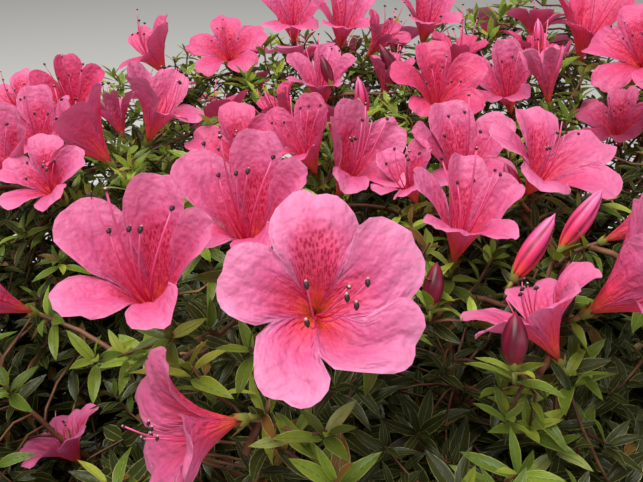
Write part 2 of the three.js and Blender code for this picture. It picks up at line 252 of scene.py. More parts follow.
@dataclass
class CrownPlan:
    """The rule of the part's source: the masses, their boughs, and every shoot of the crown."""

    half_width: float = 400
    half_depth: float = 320
    waist: float = 115
    rise: float = 272
    drop: float = 85
    squareness: float = 2.8
    skirt: float = 0.62
    top_heaviness: float = 1.22
    stem_height: float = 82
    stem_lean: tuple[float, float] = (5, -3)
    stem_bend: float = 1.3
    azimuth_play: float = 0.12
    tip_play: float = 26
    root_play: float = 16
    root_sink: float = 10
    fork_offset: float = 9
    elbow_share: float = 0.4
    arrival_share: float = 0.28
    arrival_slope: float = 0.75
    hub_length: float = 26
    joint_gap: float = 0.3
    shoot_count: int = 196
    shoot_spacing: float = 47
    blossom_spacing: float = 50
    blossom_share: float = 0.66
    blossom_depth: float = 27
    bud_from: float = 0.82
    bud_length: float = 24
    leaf_length: float = 40
    fork_spacing: float = 3
    long_twig: float = 85
    seed: int = 1207
    bed_x: float = -5
    bed_y: float = -20
    bed_half_width: float = 232
    bed_half_depth: float = 250
    bed_sink: float = 16
    bed_crowding: float = 0.8
    height_play: float = 14
    dips: tuple[Dip, ...] = (
        Dip(-150, -165, 95, 95),
        Dip(20, -235, 60, 45),
        Dip(-60, 90, 45, 22),
        Dip(175, 205, 140, -72),
    )
    rings: tuple[Ring, ...] = (
        Ring("top", 1, 0, 0.02, 190, 82, 7.0, 1.5),
        Ring("mid", 5, 0.47, 0.27, 178, 70, 6.4, 1.15),
        Ring("rim", 10, 0.86, 0.6, 132, 46, 5.4, 0.45),
    )
    masses: list[Mass] = field(default_factory=list)

    # The blossoms of the front bed: the middle of the open face, its azimuth and elevation in degrees, its
    # size as a share of a full blossom, and how far it has opened.
    FRONT_BLOSSOMS = (
        (-1, -220, 387, -88, 43, 1.06, WIDE),
        (-58, -185, 377, -109, 72, 1.1, GAPING),
        (-28, -150, 381, -115, 73, 1.06, GAPING),
        (-46, -226, 342, -150, 8, 0.93, OPEN),
        (-134, -99, 229, 168, 63, 0.8, OPEN),
        (-50, 1, 348, -127, 54, 1.0, OPEN),
        (-92, 28, 364, 14, 68, 1.0, GAPING),
        (-131, 67, 347, 132, 62, 0.8, FUNNEL),
        (-167, 102, 345, -72, 70, 1.0, GAPING),
        (-219, 125, 340, -128, 61, 0.92, WIDE),
        (-177, 54, 339, -108, 70, 1.0, GAPING),
        (-132, 1, 356, 170, 50, 0.95, GAPING),
        (-176, -1, 342, -132, 62, 1.0, GAPING),
        (-147, -29, 343, -113, 58, 0.9, OPEN),
        (-142, -128, 331, -153, 37, 0.9, FUNNEL),
        (-127, 167, 361, -176, 64, 0.95, GAPING),
        (-68, 147, 370, -101, 58, 1.0, WIDE),
        (-21, 186, 382, -90, 77, 1.0, GAPING),
        (16, 169, 382, -64, 76, 1.0, GAPING),
        (44, 141, 377, -18, 56, 0.85, FUNNEL),
        (76, 160, 387, -64, 76, 1.0, GAPING),
        (68, 30, 374, -85, 58, 1.06, OPEN),
        (71, -37, 359, -90, 77, 1.02, GAPING),
        (111, 57, 367, -138, 65, 0.95, GAPING),
        (126, 30, 385, 124, 74, 0.9, FUNNEL),
        (170, 98, 395, -33, 83, 1.05, GAPING),
        (169, 18, 400, -140, 48, 1.0, WIDE),
        (178, 49, 347, -145, 62, 0.9, OPEN),
        (18, -38, 356, -33, 64, 1.06, GAPING),
        (-10, -20, 359, -152, 69, 0.9, GAPING),
        (-28, 54, 350, -173, 50, 0.9, FUNNEL),
        (0, 97, 358, -90, 89, 0.95, GAPING),
        (62, -103, 357, -29, 82, 1.0, GAPING),
        (41, -53, 353, -162, 67, 0.7, GAPING),
        (107, -71, 371, -44, 63, 1.08, OPEN),
        (78, -156, 345, 142, 54, 0.95, OPEN),
        (120, -157, 356, -13, 43, 1.0, GAPING),
        (137, -110, 356, -6, 32, 0.75, FUNNEL),
    )
    # The lone buds of the front bed: the foot, the tip, the width, and whether it is about to open.
    FRONT_BUDS = (
        (79, -130, 341, 95, -119, 364, 9, True),
        (104, -107, 341, 121, -96, 365, 9, True),
        (44, -140, 334, 46, -132, 349, 8, False),
        (67, -184, 338, 67, -176, 354, 9, False),
        (100, -126, 332, 103, -122, 344, 6, False),
        (50, 82, 360, 36, 88, 382, 9, False),
        (6, 84, 358, 0, 92, 374, 7, False),
        (92, -68, 351, 86, -62, 363, 7, True),
        (139, 92, 378, 137, 98, 396, 7, True),
    )

    def __post_init__(self) -> None:
        """Plans the masses, gives each its shoots and grows its twigs."""
        self.random = SeededRandom(self.seed)
        self.masses = self.plan_masses()
        for shoot in self.plan_shoots():
            self.nearest_mass(shoot.tip).shoots.append(shoot)
        for mass in self.masses:
            self.grow_twigs(mass)

    @property
    def shoots(self) -> list[Shoot]:
        """All shoots, mass by mass."""
        return [twig.shoot for mass in self.masses for twig in mass.twigs]

    @property
    def foliage(self) -> list[str]:
        """The names of the foliage nodes."""
        return [f"foliage_{mass.name}" for mass in self.masses]

    def nearest_mass(self, place: Vector) -> Mass:
        """Gives the mass whose middle is nearest in plan to a place.

        Args:
            place: in millimetres.

        Returns:
            The mass.
        """

        def away(mass: Mass) -> float:
            """Gives how far off a mass is, as a share of the crown."""
            apart = mass.centre - place
            return math.hypot(apart.x / self.half_width, apart.y / self.half_depth)

        return min(self.masses, key=away)

    def plan_masses(self) -> list[Mass]:
        """Places the masses in rings and draws the bough of each.

        Returns:
            The masses, without shoots yet.
        """
        masses = []
        for ring in self.rings:
            for i in range(ring.count):
                turn = 0 if ring.alone else self.random.draw() - 0.5
                azimuth = -math.pi / 2 + 2 * math.pi * (i + 0.5 + self.azimuth_play * turn) / ring.count
                uneven = i % 2 - 0.5 if ring.alternates else self.random.draw() - 0.5
                name = ring.name if ring.alone else f"{ring.name}_{i + 1}"
                bough = self.bough_curve(ring, azimuth, uneven)
                masses.append(Mass(name, self.on_plan(ring.out, azimuth), bough, ring.bough_radius))
        return masses

    def on_plan(self, out: float, azimuth: float) -> Vector:
        """Gives the place in plan at a share of the way out to the crown's edge."""
        x, y = self.half_width * out * math.cos(azimuth), self.half_depth * out * math.sin(azimuth)
        return Vector((x, y, 0))

    def bough_curve(self, ring: Ring, azimuth: float, uneven: float) -> Bezier:
        """Draws a bough from inside the stem to where its mass begins.

        Args:
            ring: the ring that the bough belongs to.
            azimuth: its direction in plan, in radians.
            uneven: from -0.5 to 0.5, how much higher or lower it ends.

        Returns:
            The curve along its middle.
        """
        tip = self.on_plan(ring.tip_out, azimuth)
        tip.z = ring.tip_height + self.tip_play * uneven
        lean = (ring.stem_height / self.stem_height) ** self.stem_bend
        bearing = math.atan2(tip.y, tip.x)
        off_middle = 0 if ring.alone else self.fork_offset
        x = self.stem_lean[0] * lean + off_middle * math.cos(bearing)
        y = self.stem_lean[1] * lean + off_middle * math.sin(bearing)
        raised = self.root_play * uneven if ring.alternates else 0
        start = Vector((x, y, ring.stem_height - self.root_sink + raised))
        reach = (tip - start).length
        elbow = start + heading(bearing, math.atan(ring.rise)) * reach * self.elbow_share
        arrive = tip - heading(bearing, self.arrival_slope) * reach * self.arrival_share
        return Bezier(start, elbow, arrive, tip)

    def dip_at(self, x: float, y: float) -> float:
        """Gives how far the crown's surface dips below its dome at a place in plan."""
        spans = [(dip.depth, math.hypot(x - dip.x, y - dip.y) / dip.radius) for dip in self.dips]
        return sum(depth * math.exp(-(away**2)) for depth, away in spans)

    def dome_at(self, azimuth: float, height: float) -> tuple[Vector, Vector]:
        """Gives a point of the dome and the direction out of it.

        Args:
            azimuth: in radians from +X.
            height: as on a unit sphere, from -1 to 1.

        Returns:
            The point and the unit direction outwards.
        """
        level = math.sqrt(max(0.0, 1 - height * height))
        rise = self.rise if height > 0 else self.drop
        power = self.squareness
        stretch = (level**power + abs(height) ** power) ** (-1 / power)
        x = self.half_width * level * math.cos(azimuth) * stretch
        y = self.half_depth * level * math.sin(azimuth) * stretch
        point = Vector((x, y, rise * height * stretch))
        outward = Vector((x / self.half_width**2, y / self.half_depth**2, point.z / rise**2))
        point.z += self.waist
        return point, outward.normalized()

    def in_bed(self, point: Vector) -> bool:
        """Whether a place is in the front bed, in plan."""
        across = (point.x - self.bed_x) / self.bed_half_width
        return math.hypot(across, (point.y - self.bed_y) / self.bed_half_depth) < 1

    def placed_shoots(self) -> list[Shoot]:
        """Gives the blossoms and buds of the front bed."""
        shoots = []
        for x, y, z, azimuth, elevation, size, opening in self.FRONT_BLOSSOMS:
            face, axis = Vector((x, y, z)), heading(math.radians(azimuth), math.radians(elevation))
            shoots.append(Shoot(Growth.BLOSSOM, face, axis, size, opening=opening, placed=True))
        for x, y, z, tip_x, tip_y, tip_z, width, ripe in self.FRONT_BUDS:
            face = Vector((tip_x, tip_y, tip_z))
            axis = face - Vector((x, y, z))
            size = axis.length / self.bud_length
            shoots.append(Shoot(Growth.BUD, face, axis.normalized(), size, width, placed=True, ripe=ripe))
        return shoots

    def plan_shoots(self) -> list[Shoot]:
        """Places every shoot: those of the front bed first, then the rule's, spread evenly over the dome.

        Returns:
            The shoots, each with the tip that its twig grows to.
        """
        shoots = self.placed_shoots()
        for i in range(self.shoot_count):
            height = 1 - (1 + self.skirt) * ((i + 0.5) / self.shoot_count) ** self.top_heaviness
            point, outward = self.dome_at(i * GOLDEN_ANGLE + 0.5 * self.random.draw(), height)
            reach, tilt, tilt_to, kind_draw, size_draw = (self.random.draw() for _ in range(5))
            point.x *= 0.93 + 0.07 * reach
            point.y *= 0.93 + 0.07 * reach
            point.z += self.height_play * (reach - 0.5) - self.dip_at(point.x, point.y)
            in_bed = height > 0 and self.in_bed(point)
            if in_bed:
                point.z -= self.bed_sink
            axis = (outward + UP * 0.45 + heading(2 * math.pi * tilt_to, 0.2) * 0.6 * tilt).normalized()
            near_blossom = any(
                s.growth is Growth.BLOSSOM and (s.face - point).length < self.blossom_spacing for s in shoots
            )
            spacing = self.shoot_spacing * (self.bed_crowding if in_bed else 1)
            if any((s.face - point).length < spacing for s in shoots):
                continue
            growth = Growth.LEAVES
            if not in_bed and not near_blossom and kind_draw < self.blossom_share:
                growth = Growth.BLOSSOM
            elif kind_draw > self.bud_from:
                growth = Growth.BUD
            opening = (WIDE, OPEN, OPEN, FUNNEL)[int(size_draw * 3.99)]
            shoots.append(Shoot(growth, point, axis, 0.84 + 0.2 * size_draw, opening=opening))
        lengths = {
            Growth.BLOSSOM: self.blossom_depth,
            Growth.BUD: self.bud_length,
            Growth.LEAVES: self.leaf_length * 0.5,
        }
        for shoot in shoots:
            shoot.tip = shoot.face - shoot.axis * lengths[shoot.growth] * shoot.size
        return shoots

    def grow_twigs(self, mass: Mass) -> None:
        """Grows each shoot of a mass from the nearest and straightest place on what has grown before.

        Args:
            mass: the mass, which gets its stem and its twigs.
        """
        end, onward = mass.bough.place(1), mass.bough.tangent_at_end()
        foot = end + onward * self.joint_gap
        hub = foot + onward * self.hub_length
        mass.stem = Bezier(foot, foot.lerp(hub, 1 / 3), foot.lerp(hub, 2 / 3), hub)
        # Each place that a twig may leave from: where it is, the way of what it is on, and how far that is.
        places = [[foot.lerp(hub, 0.85), onward, 0.0], [foot.lerp(hub, 0.55), onward, 8.0]]
        for shoot in sorted(mass.shoots, key=lambda s: (s.tip - hub).length):

            def cost(place: list) -> float:
                """Gives how far and how bent the way from a place to the shoot is."""
                way = shoot.tip - place[0]
                return way.length * (1.35 - 0.35 * way.normalized().dot(place[1])) + 0.3 * place[2]

            source = min(places, key=cost)
            span = (source[0] - shoot.tip).length
            start, along = source[0].copy(), source[1]
            source[0] = source[0] - along * self.fork_spacing
            leave = ((shoot.tip - start).normalized() + along).normalized()
            curve = Bezier(start, start + leave * span * 0.3, shoot.tip - shoot.axis * span * 0.38, shoot.tip)
            steps = 3 if span > self.long_twig else 2
            for step in range(steps):
                low, high = curve.place(step / steps), curve.place((step + 1) / steps)
                path = source[2] + span * (step + 0.55) / steps
                places.append([low.lerp(high, 0.55), (high - low).normalized(), path])
            mass.twigs.append(Twig(shoot, curve))


def linear(colour: str) -> tuple[float, float, float, float]:
    """Turns an sRGB hex colour, such as "#F08030", into the linear values that a socket takes."""
    parts = [int(colour[i : i + 2], 16) / 255 for i in (1, 3, 5)]
    red, green, blue = (c / 12.92 if c <= 0.04045 else ((c + 0.055) / 1.055) ** 2.4 for c in parts)
    return red, green, blue, 1.0


def add_node(
    tree: NodeTree,
    kind: str,
    inputs: dict | None = None,
    stops: Sequence[tuple[float, str]] = (),
    held: bool = False,
    **settings: object,
) -> Node:
    """Adds a node to a tree with its settings and links.

    Args:
        tree: the shader or geometry tree.
        kind: the node's type name.
        inputs: for each input, by name or number, a signal or socket to link or a value to set.
        stops: a ramp's stops, in order, each a place and an sRGB hex colour.
        held: whether each colour of a ramp holds up to the next stop.
        settings: the node's own properties.

    Returns:
        The node.
    """
    node = tree.nodes.new(kind)
    for name, value in settings.items():
        setattr(node, name, value)
    for key, value in (inputs or {}).items():
        source = value.socket if isinstance(value, Signal) else value
        if isinstance(source, NodeSocket):
            tree.links.new(source, node.inputs[key])
        else:
            node.inputs[key].default_value = source
    if stops:
        ramp = node.color_ramp
        ramp.interpolation = "CONSTANT" if held else "LINEAR"
        while len(ramp.elements) < len(stops):
            ramp.elements.new(1.0)
        for element, (place, colour) in zip(ramp.elements, stops):
            element.position = place
            element.color = linear(colour)
    return node


@dataclass(frozen=True)
class Signal:
    """A number, colour or place in a shader tree, so that sums on it are written as in plain code."""

    tree: NodeTree
    socket: NodeSocket

    @staticmethod
    def of(tree: NodeTree, kind: str, inputs: dict | None = None, **settings: object) -> "Signal":
        """Adds a node and gives its first result."""
        return Signal(tree, add_node(tree, kind, inputs, **settings).outputs[0])

    def step(self, operation: str, *others: object, clamp: bool = False) -> "Signal":
        """Gives the result of one step of arithmetic on this and other values."""
        values = dict(enumerate((self, *others)))
        return Signal.of(self.tree, "ShaderNodeMath", values, operation=operation, use_clamp=clamp)

    def __add__(self, other: object) -> "Signal":
        """Adds a value."""
        return self.step("ADD", other)

    def __sub__(self, other: object) -> "Signal":
        """Takes a value away."""
        return self.step("SUBTRACT", other)

    def __mul__(self, other: object) -> "Signal":
        """Multiplies by a value."""
        return self.step("MULTIPLY", other)

    def __truediv__(self, other: object) -> "Signal":
        """Divides by a value."""
        return self.step("DIVIDE", other)

    def __abs__(self) -> "Signal":
        """Drops the sign."""
        return self.step("ABSOLUTE")

    def line(self, slope: object, start: object) -> "Signal":
        """Gives a slope times this value, plus a start."""
        return self.step("MULTIPLY_ADD", slope, start)

    def fade(self, slope: float, start: float) -> "Signal":
        """Gives a slope times this value plus a start, kept from 0 to 1."""
        return self.step("MULTIPLY_ADD", slope, start, clamp=True)

    def under(self, colour: "Signal | str", share: "Signal") -> "Signal":
        """Gives this colour with a share of another one over it."""
        over = linear(colour) if isinstance(colour, str) else colour
        node = add_node(self.tree, "ShaderNodeMix", {0: share, 6: self, 7: over}, data_type="RGBA")
        return Signal(self.tree, node.outputs[2])


@dataclass(frozen=True)
class Finish:
    """A finish: the shader that all materials here start from."""

    name: str
    mean: str
    roughness: float
    ior: float = 1.45
    relief_mm: float = 0.0
    through: float = 0.0

    def material(self) -> Material:
        """Makes the material, with its relief and with the share of light that comes through a thin part.

        Returns:
            The material.
        """
        material = bpy.data.materials.new(self.name)
        material.use_nodes = True
        material.diffuse_color = linear(self.mean)
        tree = material.node_tree
        tree.nodes.clear()
        values = {"Base Color": linear(self.mean), "Roughness": self.roughness, "IOR": self.ior}
        shader = add_node(tree, "ShaderNodeBsdfPrincipled", values)
        surface = shader.outputs["BSDF"]
        colour, height = self.pattern(tree)
        if colour:
            tree.links.new(colour.socket, shader.inputs["Base Color"])
        if height:
            depth = {"Strength": 1.0, "Distance": self.relief_mm * MM, "Height": height}
            tree.links.new(add_node(tree, "ShaderNodeBump", depth).outputs["Normal"], shader.inputs["Normal"])
        if self.through:
            glow = add_node(tree, "ShaderNodeBsdfTranslucent", {"Color": colour})
            mixed = {0: self.through, 1: surface, 2: glow.outputs["BSDF"]}
            surface = add_node(tree, "ShaderNodeMixShader", mixed).outputs[0]
        add_node(tree, "ShaderNodeOutputMaterial", {"Surface": surface})
        return material

    def pattern(self, tree: NodeTree) -> tuple[Signal | None, Signal | None]:
        """Adds what colours the finish and what raises it.

        Args:
            tree: the material's tree.

        Returns:
            The colour and the height, or nothing for one that is plain.
        """
        return None, None

    def own_map(self, tree: NodeTree) -> tuple[Signal, Signal, Signal]:
        """Adds the piece's UV map.

        Args:
            tree: the material's tree.

        Returns:
            The place on the map, and how far across and along the map it is.
        """
        place = Signal.of(tree, "ShaderNodeUVMap", uv_map=UV_NAME)
        parts = add_node(tree, "ShaderNodeSeparateXYZ", {0: place})
        return place, Signal(tree, parts.outputs[0]), Signal(tree, parts.outputs[1])


@dataclass(frozen=True)
class WeatheredBark(Finish):
    """Grey-brown bark of old stems: rough, with short fissures along the limb, lighter on its ridges."""

    relief_mm: float = 1.2
    fissure_mm: float = 5.0
    fissure_shape: float = 0.3

    def pattern(self, tree: NodeTree) -> tuple[Signal, Signal]:
        """Adds flakes and fissures, drawn on the limb's own UV map: round it, and along it."""
        place, _, _ = self.own_map(tree)
        stretch = {"Vector": place, "Scale": (1.0, self.fissure_shape, 1.0)}
        drawn = Signal.of(tree, "ShaderNodeMapping", stretch)
        look = {"Vector": drawn, "Scale": 1 / (self.fissure_mm * MM), "Detail": 6.0, "Roughness": 0.65}
        flakes = Signal.of(tree, "ShaderNodeTexNoise", look)
        stops = [(0.3, "#2E241D"), (0.48, "#5D4E42"), (0.6, "#85766A"), (0.75, "#A09385")]
        return Signal.of(tree, "ShaderNodeValToRGB", {0: flakes}, stops=stops), flakes


@dataclass(frozen=True)
class YoungBark(Finish):
    """Thin brown bark of young twigs, smooth with a faint sheen, in redder and greyer patches."""

    relief_mm: float = 0.4
    patch_mm: float = 12.5

    def pattern(self, tree: NodeTree) -> tuple[Signal, Signal]:
        """Adds the soft patches."""
        solid = add_node(tree, "ShaderNodeTexCoord")
        look = {"Vector": solid.outputs["Object"], "Scale": 1 / (self.patch_mm * MM), "Detail": 3.0}
        patches = Signal.of(tree, "ShaderNodeTexNoise", look)
        stops = [(0.32, "#46291A"), (0.5, "#684028"), (0.68, "#86603E")]
        return Signal.of(tree, "ShaderNodeValToRGB", {0: patches}, stops=stops), patches


@dataclass(frozen=True)
class LeafBlade(Finish):
    """A living leaf with a thin waxy skin: satin, light let through, a paler rib and sunk side veins."""

    relief_mm: float = 0.6
    through: float = 0.22
    rib: float = 0.035
    vein_slant: float = -1.6
    vein_turns: float = 46.0
    # One colour for each LeafTint. A leaf's tint goes by how deep, how low and how far from blossoms it lies,
    # so the brighter tints are partly painted light and the darker ones partly painted shade, the rest being
    # the leaves' own age and tone.
    TINTS: ClassVar[tuple[str, ...]] = ("#C2D044", "#94AC30", "#6A841C", "#2E3010", "#96602C", "#C0CC70")

    def pattern(self, tree: NodeTree) -> tuple[Signal, Signal]:
        """Adds the leaf's tint by the column of its UV square, its ribs, its veins and its mottling."""
        place, u, along = self.own_map(tree)
        count = float(len(LeafTint))
        columns = u * count
        across = abs(columns.step("FRACT") - 0.5)
        stops = [(i / len(self.TINTS), colour) for i, colour in enumerate(self.TINTS)]
        tint = {0: columns.step("FLOOR") / count + 0.02}
        plain = Signal.of(tree, "ShaderNodeValToRGB", tint, stops=stops, held=True)
        look = {"Vector": place, "Scale": 9.0, "Detail": 3.0, "Roughness": 0.6}
        body = plain.under("#3E4C0C", Signal.of(tree, "ShaderNodeTexNoise", look) * 0.55)
        wave = (across.line(self.vein_slant, along) * self.vein_turns).step("SINE")
        veins = wave.line(0.5, 0.5).step("POWER", 5.0)
        rib, edge = across.fade(-1 / self.rib, 1.0), across.fade(12.0, -4.6)
        colour = body.under("#B9C777", veins * 0.22).under("#D2D890", rib * 0.6).under("#ECE48C", edge * 0.8)
        return colour, (veins * 0.4 + rib) * -1.0


@dataclass(frozen=True)
class PetalFlesh(Finish):
    """A soft petal of fine moist cells: matte, rose pink, glowing in the light, with a crimson blotch."""

    relief_mm: float = 0.55
    through: float = 0.3
    crinkle_mm: float = 2.2
    tints: int = 4
    lobes: float = 5.0
    # The throat's own orange-red, brightened as painted light so that the throat, shaded inside the tube,
    # reads bright.
    LIT_THROAT: ClassVar[tuple] = ((0.0, "#B03C20"), (0.1, "#FF7444"), (0.24, "#FA584C"), (0.33, "#EE4A66"))
    LOBE: ClassVar[tuple] = ((0.46, "#E04C76"), (0.64, "#DA5E92"), (0.86, "#E27CA8"), (1.0, "#EA90B8"))

    def pattern(self, tree: NodeTree) -> tuple[Signal, Signal]:
        """Adds the colours from the throat out, brightened as painted light in the throat, the veins, the
        blotch and the pale rim, partly a painted highlight, all by the UV map.
        """
        _, u, v = self.own_map(tree)
        lobes, rows = u * self.lobes, v * float(self.tints)
        out = rows.step("FRACT")
        tint = rows.step("FLOOR") / float(self.tints - 1)
        outwards = {0: out * tint.line(-0.3, 1.0)}
        plain = Signal.of(tree, "ShaderNodeValToRGB", outwards, stops=[*self.LIT_THROAT, *self.LOBE])
        flat = Signal.of(tree, "ShaderNodeCombineXYZ", {0: lobes, 1: out})
        patches = Signal.of(tree, "ShaderNodeTexNoise", {"Vector": flat, "Scale": 3.4, "Detail": 2.0})
        ground = plain.under("#F6A0CE", patches.fade(3.0, -1.3) * out * 0.3)
        drawn_out = Signal.of(tree, "ShaderNodeCombineXYZ", {0: lobes, 1: out * 0.42})
        look = {"Vector": drawn_out, "Scale": 17.0, "Detail": 2.0, "Roughness": 0.5}
        veins = Signal.of(tree, "ShaderNodeTexNoise", look)
        veined = ground.under("#D83E72", veins.fade(2.4, -0.9) * 0.26)
        zone, dash = self.blotch(tree, lobes, out)
        spotted = veined.under("#E8446E", zone * 0.6).under("#B8103C", zone * dash * 0.85)
        # Then the deeper rose of the blossom's tint, and the pale rim at the very edge, partly the petal's
        # own paler margin and partly a painted highlight.
        colour = spotted.under("#D62C58", tint * 0.5).under("#FFD0E8", out.fade(45.0, -43.9) * 0.6)
        groove = abs(lobes.step("FRACT") - 0.5).fade(-14.0, 1.0)
        puckers = Signal.of(tree, "ShaderNodeTexNoise", {"Vector": flat, "Scale": 8.0, "Detail": 1.0})
        solid = add_node(tree, "ShaderNodeTexCoord")
        fine = {"Vector": solid.outputs["Object"], "Scale": 1 / (self.crinkle_mm * MM), "Detail": 1.0}
        crinkles = Signal.of(tree, "ShaderNodeTexNoise", fine)
        return colour, crinkles.line(1.1, puckers.line(2.4, (veins - groove * 0.5) * 0.6))

    def blotch(self, tree: NodeTree, lobes: Signal, out: Signal) -> tuple[Signal, Signal]:
        """Adds the blotch on the upper lobe and beside it.

        Args:
            tree: the material's tree.
            lobes: the place round the corolla, one for each lobe.
            out: the place from the foot to the rim.

        Returns:
            How far a place is in the blotch, and how far it is in one of its dots.
        """
        from_top = lobes - 0.5
        beside = abs(from_top).step("MINIMUM", abs(from_top - self.lobes))
        inner = (beside.line(-0.2, 0.8) - out).fade(7.0, 0.0)
        zone = inner * out.fade(7.0, -1.9) * beside.fade(-2.6, 2.5)
        grid = Signal.of(tree, "ShaderNodeCombineXYZ", {0: lobes, 1: out * 0.8})
        look = {"Vector": grid, "Scale": 24.0, "Randomness": 0.9}
        return zone, Signal.of(tree, "ShaderNodeTexVoronoi", look, voronoi_dimensions="2D").fade(-7.0, 2.8)


@dataclass(frozen=True)
class BudFlesh(Finish):
    """Rolled petals before they open: firm, satin, crimson, orange at the foot and pink along the folds."""

    RIPE: ClassVar[tuple] = (
        (0.0, "#A8502A"), (0.12, "#E0503A"), (0.3, "#D03058"), (0.6, "#D8447C"), (1.0, "#E87CAE")
    )
    YOUNG: ClassVar[tuple] = ((0.0, "#8A4424"), (0.16, "#6A1226"), (0.7, "#46081C"), (1.0, "#78142F"))

    def pattern(self, tree: NodeTree) -> tuple[Signal, None]:
        """Adds the colours along the bud, and a darker line in each fold, where a half of the map begins:
        painted shade in the groove between the rolled petals, partly their own deeper crimson.
        """
        _, u, along = self.own_map(tree)
        both = (self.RIPE, self.YOUNG)
        ripe, young = (Signal.of(tree, "ShaderNodeValToRGB", {0: along}, stops=stops) for stops in both)
        halves = u * 2.0
        body = ripe.under(young, halves.step("GREATER_THAN", 1.0))
        return body.under("#780A2C", halves.step("FRACT").fade(-2.0, 1.35) * 0.9), None


@dataclass(frozen=True)
class Graded(Finish):
    """A finish whose colour changes from the foot of a part to its tip."""

    STOPS: ClassVar[tuple] = ()

    def pattern(self, tree: NodeTree) -> tuple[Signal, None]:
        """Adds the colours along the part, by its UV map."""
        _, _, along = self.own_map(tree)
        return Signal.of(tree, "ShaderNodeValToRGB", {0: along}, stops=self.STOPS), None


@dataclass(frozen=True)
class Filament(Graded):
    """Smooth fleshy threads, pink, darker towards their feet."""

    STOPS: ClassVar[tuple] = ((0.0, "#C02036"), (0.45, "#D43264"), (1.0, "#E0608E"))


@dataclass(frozen=True)
class PollenCase(Graded):
    """Dry dark anthers, maroon to near black, with a pale pore at the end."""

    STOPS: ClassVar[tuple] = ((0.0, "#2A0A14"), (0.72, "#3A101C"), (0.85, "#9A7A70"), (1.0, "#C8B09C"))


@dataclass(frozen=True)
class SepalSkin(Graded):
    """Small downy sepals and bud scales, green with brown tips."""

    STOPS: ClassVar[tuple] = ((0.0, "#5C6428"), (0.5, "#7C7E34"), (0.85, "#92602F"), (1.0, "#6E3A24"))


def stacked(*arrays: np.ndarray) -> np.ndarray:
    """Fits arrays to each other and stacks them as the columns of a new last axis."""
    return np.stack(np.broadcast_arrays(*arrays), axis=2)


def point_tree(points: Sequence[Vector]) -> kdtree.KDTree:
    """Makes a tree that finds the nearest of some points.

    Args:
        points: in the order that the tree numbers them.

    Returns:
        The tree.
    """
    tree = kdtree.KDTree(len(points))
    for i, point in enumerate(points):
        tree.insert(point, i)
    tree.balance()
    return tree


class MeshParts:
    """Vertices, faces and UV places that are gathered into one mesh."""

    def __init__(self) -> None:
        """Starts with nothing."""
        self.points: list[np.ndarray] = []
        self.uvs: list[np.ndarray] = []
        self.faces: list[tuple[int, ...]] = []
        self.count = 0

    def add(self, points: np.ndarray, uvs: np.ndarray, faces: Iterable[Sequence[int]]) -> None:
        """Adds a patch.

        Args:
            points: one row a vertex, in millimetres.
            uvs: one row a vertex.
            faces: vertex numbers within the patch.
        """
        self.points.append(np.asarray(points, dtype=float))
        self.uvs.append(np.asarray(uvs, dtype=float))
        self.faces.extend(tuple(i + self.count for i in face) for face in faces)
        self.count += len(points)

    def grid(self, points: np.ndarray, uvs: np.ndarray, close: bool = False, caps: bool = False) -> None:
        """Adds a patch whose points stand in rows and columns.

        Args:
            points: rows by columns by 3, in millimetres.
            uvs: rows by columns by 2.
            close: whether the last column joins the first.
            caps: whether a face closes the first row, and another the last.
        """
        rows, columns = points.shape[:2]
        faces = []
        for i in range(rows - 1):
            for j in range(columns if close else columns - 1):
                k = (j + 1) % columns
                faces.append((i * columns + j, i * columns + k, (i + 1) * columns + k, (i + 1) * columns + j))
        if caps:
            last = (rows - 1) * columns
            faces += [tuple(reversed(range(columns))), tuple(last + i for i in range(columns))]
        self.add(points.reshape(-1, 3), uvs.reshape(-1, 2), faces)

    def tube(self, path: np.ndarray, radii: np.ndarray, sides: int) -> None:
        """Adds a closed tube along a path.

        Args:
            path: one row a place, in millimetres.
            radii: one a place.
            sides: how many sides it has.
        """
        rings = sweep(path, [np.full(sides, r) for r in radii])
        across, along = np.arange(sides) / sides, np.linspace(0, 1, len(path))
        self.grid(rings, stacked(across[None, :], along[:, None]), close=True, caps=True)

    def mesh(self, name: str, merge: float = 0.0, scale: float = MM) -> Mesh:
        """Makes the mesh in metres, shaded smooth.

        Args:
            name: the mesh's name.
            merge: vertices nearer than this, in millimetres, become one.
            scale: what a unit of the patches is, in metres.

        Returns:
            The mesh.
        """
        mesh = bpy.data.meshes.new(name)
        points = np.concatenate(self.points) * scale
        mesh.from_pydata(points.tolist(), [], self.faces)
        loops = np.empty(len(mesh.loops), dtype=np.int32)
        mesh.loops.foreach_get("vertex_index", loops)
        layer = mesh.uv_layers.new(name=UV_NAME)
        layer.uv.foreach_set("vector", np.concatenate(self.uvs)[loops].astype(np.float32).ravel())
        if merge:
            shell = bmesh.new()
            shell.from_mesh(mesh)
            bmesh.ops.remove_doubles(shell, verts=shell.verts, dist=merge * scale)
            shell.to_mesh(mesh)
            shell.free()
        mesh.shade_smooth()
        return mesh


def sweep(path: np.ndarray, rings: Sequence[np.ndarray]) -> np.ndarray:
    """Places rings of points along a path, each square to it, without twist.

    Args:
        path: one row a place.
        rings: for each place, the radius of each point of its ring.

    Returns:
        The points: places by ring points by 3.
    """
    tangents = np.gradient(path, axis=0)
    tangents /= np.linalg.norm(tangents, axis=1, keepdims=True)
    side = np.cross(tangents[0], [0.31, 0.87, 0.4])
    out = []
    for place, tangent, radii in zip(path, tangents, rings):
        side = side - tangent * np.dot(side, tangent)
        side /= np.linalg.norm(side)
        other = np.cross(tangent, side)
        turn = 2 * math.pi * np.arange(len(radii)) / len(radii)
        ring = np.cos(turn)[:, None] * side + np.sin(turn)[:, None] * other
        out.append(place + ring * radii[:, None])
    return np.stack(out)


def smooth(value: np.ndarray | float) -> np.ndarray | float:
    """Gives a soft step from 0 to 1."""
    value = np.clip(value, 0, 1)
    return value * value * (3 - 2 * value)


def plain_object(name: str, mesh: Mesh) -> Object:
    """Puts a mesh in the scene as an object at the origin."""
    piece = bpy.data.objects.new(name, mesh)
    bpy.context.scene.collection.objects.link(piece)
    return piece


